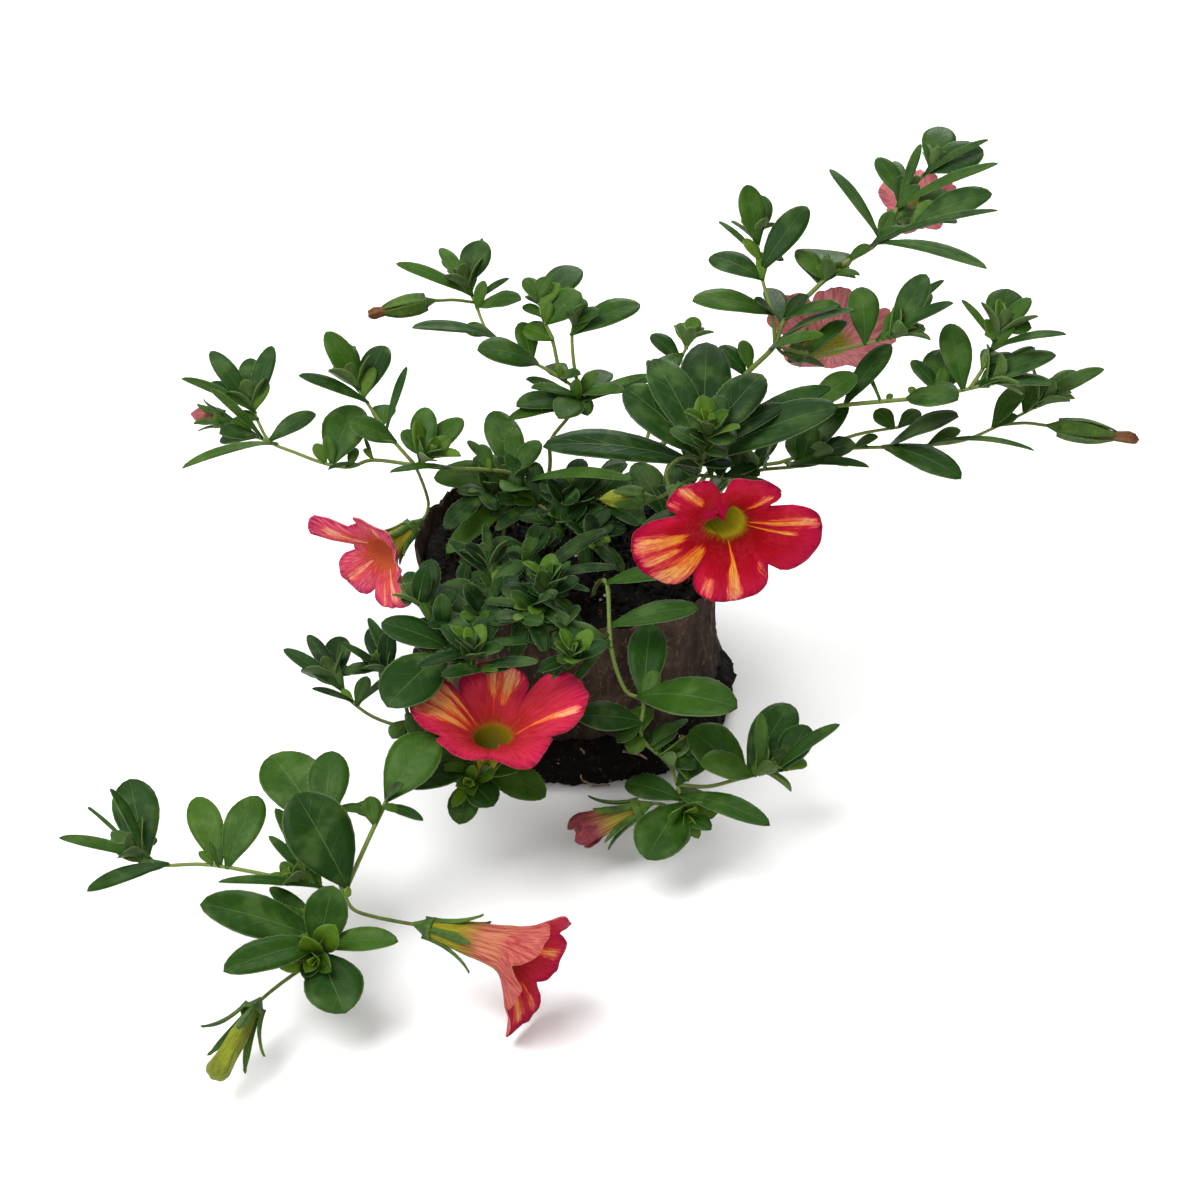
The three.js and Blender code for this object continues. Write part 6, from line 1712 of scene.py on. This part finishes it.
# The peat's side from its foot up, as (height, how far past the plug's half widths across and
# back, how far in from the paper).
PEAT_INSET = SLEEVE_WALL + GAP + 0.1
PEAT_OUTLINE = [
    (0, 1.2, 2.2, 0), (0.7, 1.9, 2.9, 0), (2.5, 3, 4, 0), (4.5, 2.5, 3.5, 0), (6.4, 1.6, 2.6, 0),
    (7.5, 0.8, 1.5, 0), (8.5, 0.2, 0.6, 0), (9.2, -0.2, 0, PEAT_INSET), (13, -0.9, -0.5, PEAT_INSET),
    (19, -1.6, -1, PEAT_INSET), (26, -0.8, -0.6, PEAT_INSET), (SOIL_TOP - 1.4, -0.3, -0.2, PEAT_INSET),
    (SOIL_TOP - 0.4, -0.8, -0.8, PEAT_INSET),
]
CRUMBS, GRITS, ROOTS = 620, 28, 26


def grow_peat():
    """The peat: rough where it spreads below the paper, crumbly on top, with roots over its foot."""
    draw = random.Random("peat")
    piece = Piece("peat_and_roots", ["peat", "grit", "root"])
    sides, soil_rings = 260, 46
    rings = []
    for z, dx, dy, back in PEAT_OUTLINE:
        for k in range(sides):
            turn = 2 * math.pi * k / sides
            radius = plug_radius(turn, PLUG_RX + dx, PLUG_RY + dy) + folds(turn) - back
            rough = 1.0 if z < SLEEVE_FOOT else 0.15
            spot = Vector((radius * math.cos(turn), radius * math.sin(turn), z * 1.3)) * 0.24
            lumps = (1.5 * noise.noise(spot) + 0.9 * noise.noise(spot * 3.1)
                     + 0.4 * noise.noise(spot * 8))
            radius += rough * (lumps - 0.3)
            lift = 0.35 * rough * noise.noise(spot * 2) if z > 0.5 else 0
            rings.append(Vector((radius * math.cos(turn), radius * math.sin(turn), max(0, z + lift))))
    for step in range(1, soil_rings):
        share = 1 - step / soil_rings
        for k in range(sides):
            turn = 2 * math.pi * k / sides
            rim = plug_radius(turn, PLUG_RX - 0.8, PLUG_RY - 0.8) + folds(turn) - PEAT_INSET
            x, y = rim * share * math.cos(turn), rim * share * math.sin(turn)
            spot = Vector((x, y, 4))
            bumps = (0.5 * noise.noise(spot * 0.3) + 0.6 * noise.noise(spot * 0.9)
                     + 0.35 * noise.noise(spot * 2.4))
            z = SOIL_TOP - 0.4 + min(1, step / 5) * (bumps + 0.8 * (1 - share))
            rings.append(Vector((x, y, z)))
    faces, maps = ring_faces(len(rings) // sides, sides)
    piece.add(rings, faces, maps, "peat")
    scatter_crumbs(piece, draw)
    for _ in range(ROOTS):
        add_root(piece, draw)
    return piece.make()


def stone_pattern():
    """The corners and faces of a plain small stone, one unit in radius."""
    bpy.ops.mesh.primitive_ico_sphere_add(subdivisions=1, radius=1)
    stone = bpy.context.object
    points = np.array([tuple(v.co) for v in stone.data.vertices])
    faces = [tuple(face.vertices) for face in stone.data.polygons]
    bpy.data.objects.remove(stone)
    return points, faces


def scatter_crumbs(piece, draw):
    """Loose crumbs of peat and a few white grits: one in four on the plug's foot, the rest on top."""
    points, faces = stone_pattern()
    for index in range(CRUMBS):
        grit = index < GRITS
        turn, reach = draw.uniform(0, 2 * math.pi), math.sqrt(draw.random()) * 0.95
        size = draw.uniform(0.18, 0.42) if grit else draw.uniform(0.25, 0.85)
        if index % 4 == 3:
            z = draw.uniform(0.9, 7.5)
            radius = plug_radius(turn, PLUG_RX + 2, PLUG_RY + 3) + folds(turn)
            radius -= 0.2 + max(0, z - 3) * 0.35
        else:
            z = SOIL_TOP + 0.4
            radius = plug_radius(turn, PLUG_RX - 3, PLUG_RY - 3) * reach
        middle = np.array([radius * math.cos(turn), radius * math.sin(turn), z])
        tumble = draw.uniform(0, 6.3)
        axle = Vector([draw.uniform(-1, 1) for _ in range(3)]).normalized()
        turned_by = np.array(Matrix.Rotation(tumble, 3, axle))
        stretch = np.array([draw.uniform(0.7, 1.3) for _ in range(3)])
        lumps = np.array([[draw.uniform(0.8, 1.15)] for _ in range(len(points))])
        shape = (points * lumps * stretch * size) @ turned_by + middle
        shape[:, 2] = np.maximum(shape[:, 2], 0.02)
        corners = 3 * len(faces)
        piece.add(shape, faces, [(0.5, 0.5)] * corners, "grit" if grit else "peat")


def add_root(piece, draw):
    """A thin root that creeps over the flared foot of the plug."""
    turn = draw.uniform(0, 2 * math.pi)
    z = draw.uniform(5, 8.2)
    points = []
    for _ in range(draw.randint(5, 9)):
        radius = plug_radius(turn, PLUG_RX + 2.2, PLUG_RY + 3.2) + folds(turn) + draw.uniform(-0.5, 0.5)
        radius -= max(0, z - 3.2) * 0.42
        points.append(Vector((radius * math.cos(turn), radius * math.sin(turn), max(0.5, z))))
        turn += draw.uniform(-0.03, 0.1)
        z -= draw.uniform(-0.3, 1.8)
    add_bar(piece, points, list(np.linspace(0.3, 0.1, len(points))), "root", sides=6, steps=4)


# ------------------------------------------------------------------------ the whole plant
def dress():
    """Each node of the frame gets its finer piece, its finish and its body."""
    made = [("paper_sleeve", "paper", grow_sleeve()), ("peat_plug", "peat", grow_peat())]
    made += [(name, "leaf", grow_shoot(name, shoot)) for name, shoot in SHOOTS.items()]
    made += [("corolla_" + name, flower["slot"], grow_corolla(name, flower))
             for name, flower in FLOWERS.items()]
    made += [("bud_" + name, bud["slot"], grow_bud(name, bud)) for name, bud in BUDS.items()]
    for node, slot, piece in made:
        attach(piece, "root")
        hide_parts(node)


def lay_floor():
    bpy.ops.mesh.primitive_plane_add(size=FLOOR_SIZE, location=(0, 0, -FLOOR_DROP))
    floor = bpy.context.object
    floor.name = "floor"
    work = Finish("pale floor")
    base = work.mix(work.noise(work.place(), 3.0, 2.0), (244, 244, 244), (250, 250, 250))
    floor.data.materials.append(work.wear(base, 0.9, specular_ior_level=0.1))


def set_camera():
    lens = bpy.data.cameras.new("camera")
    lens.sensor_width, lens.lens = SENSOR, LENS
    lens.clip_start, lens.clip_end = 0.01, 20
    camera = bpy.data.objects.new("camera", lens)
    camera.location = EYE * MM
    camera.rotation_euler = TOWARD.to_track_quat("Z", "Y").to_euler()
    bpy.context.scene.collection.objects.link(camera)
    bpy.context.scene.camera = camera


def softbox(name, place, target, size, power):
    """A round soft lamp, aimed at its target."""
    light = bpy.data.lights.new(name, "AREA")
    light.shape, light.size, light.energy = "DISK", size, power
    lamp = bpy.data.objects.new(name, light)
    lamp.location = place
    lamp.rotation_euler = (Vector(place) - Vector(target)).to_track_quat("Z", "Y").to_euler()
    bpy.context.scene.collection.objects.link(lamp)


def light_studio():
    world = bpy.data.worlds.new("studio")
    world.use_nodes = True
    sky = world.node_tree.nodes["Background"]
    sky.inputs[0].default_value = (1, 1, 1, 1)
    sky.inputs[1].default_value = SKY_LIGHT
    bpy.context.scene.world = world
    softbox("key", (-0.45, -0.15, 0.9), (0, 0, 0.03), 0.85, 13)
    softbox("fill", (0.15, -1.0, 0.8), (0, 0, 0.04), 0.9, 5)
    softbox("rim", (0.2, 0.9, 0.6), (0, 0, 0.06), 0.5, 6)
    bpy.context.scene.view_settings.view_transform = "Standard"


dress()
lay_floor()
set_camera()
light_studio()

bpy.context.view_layer.update()
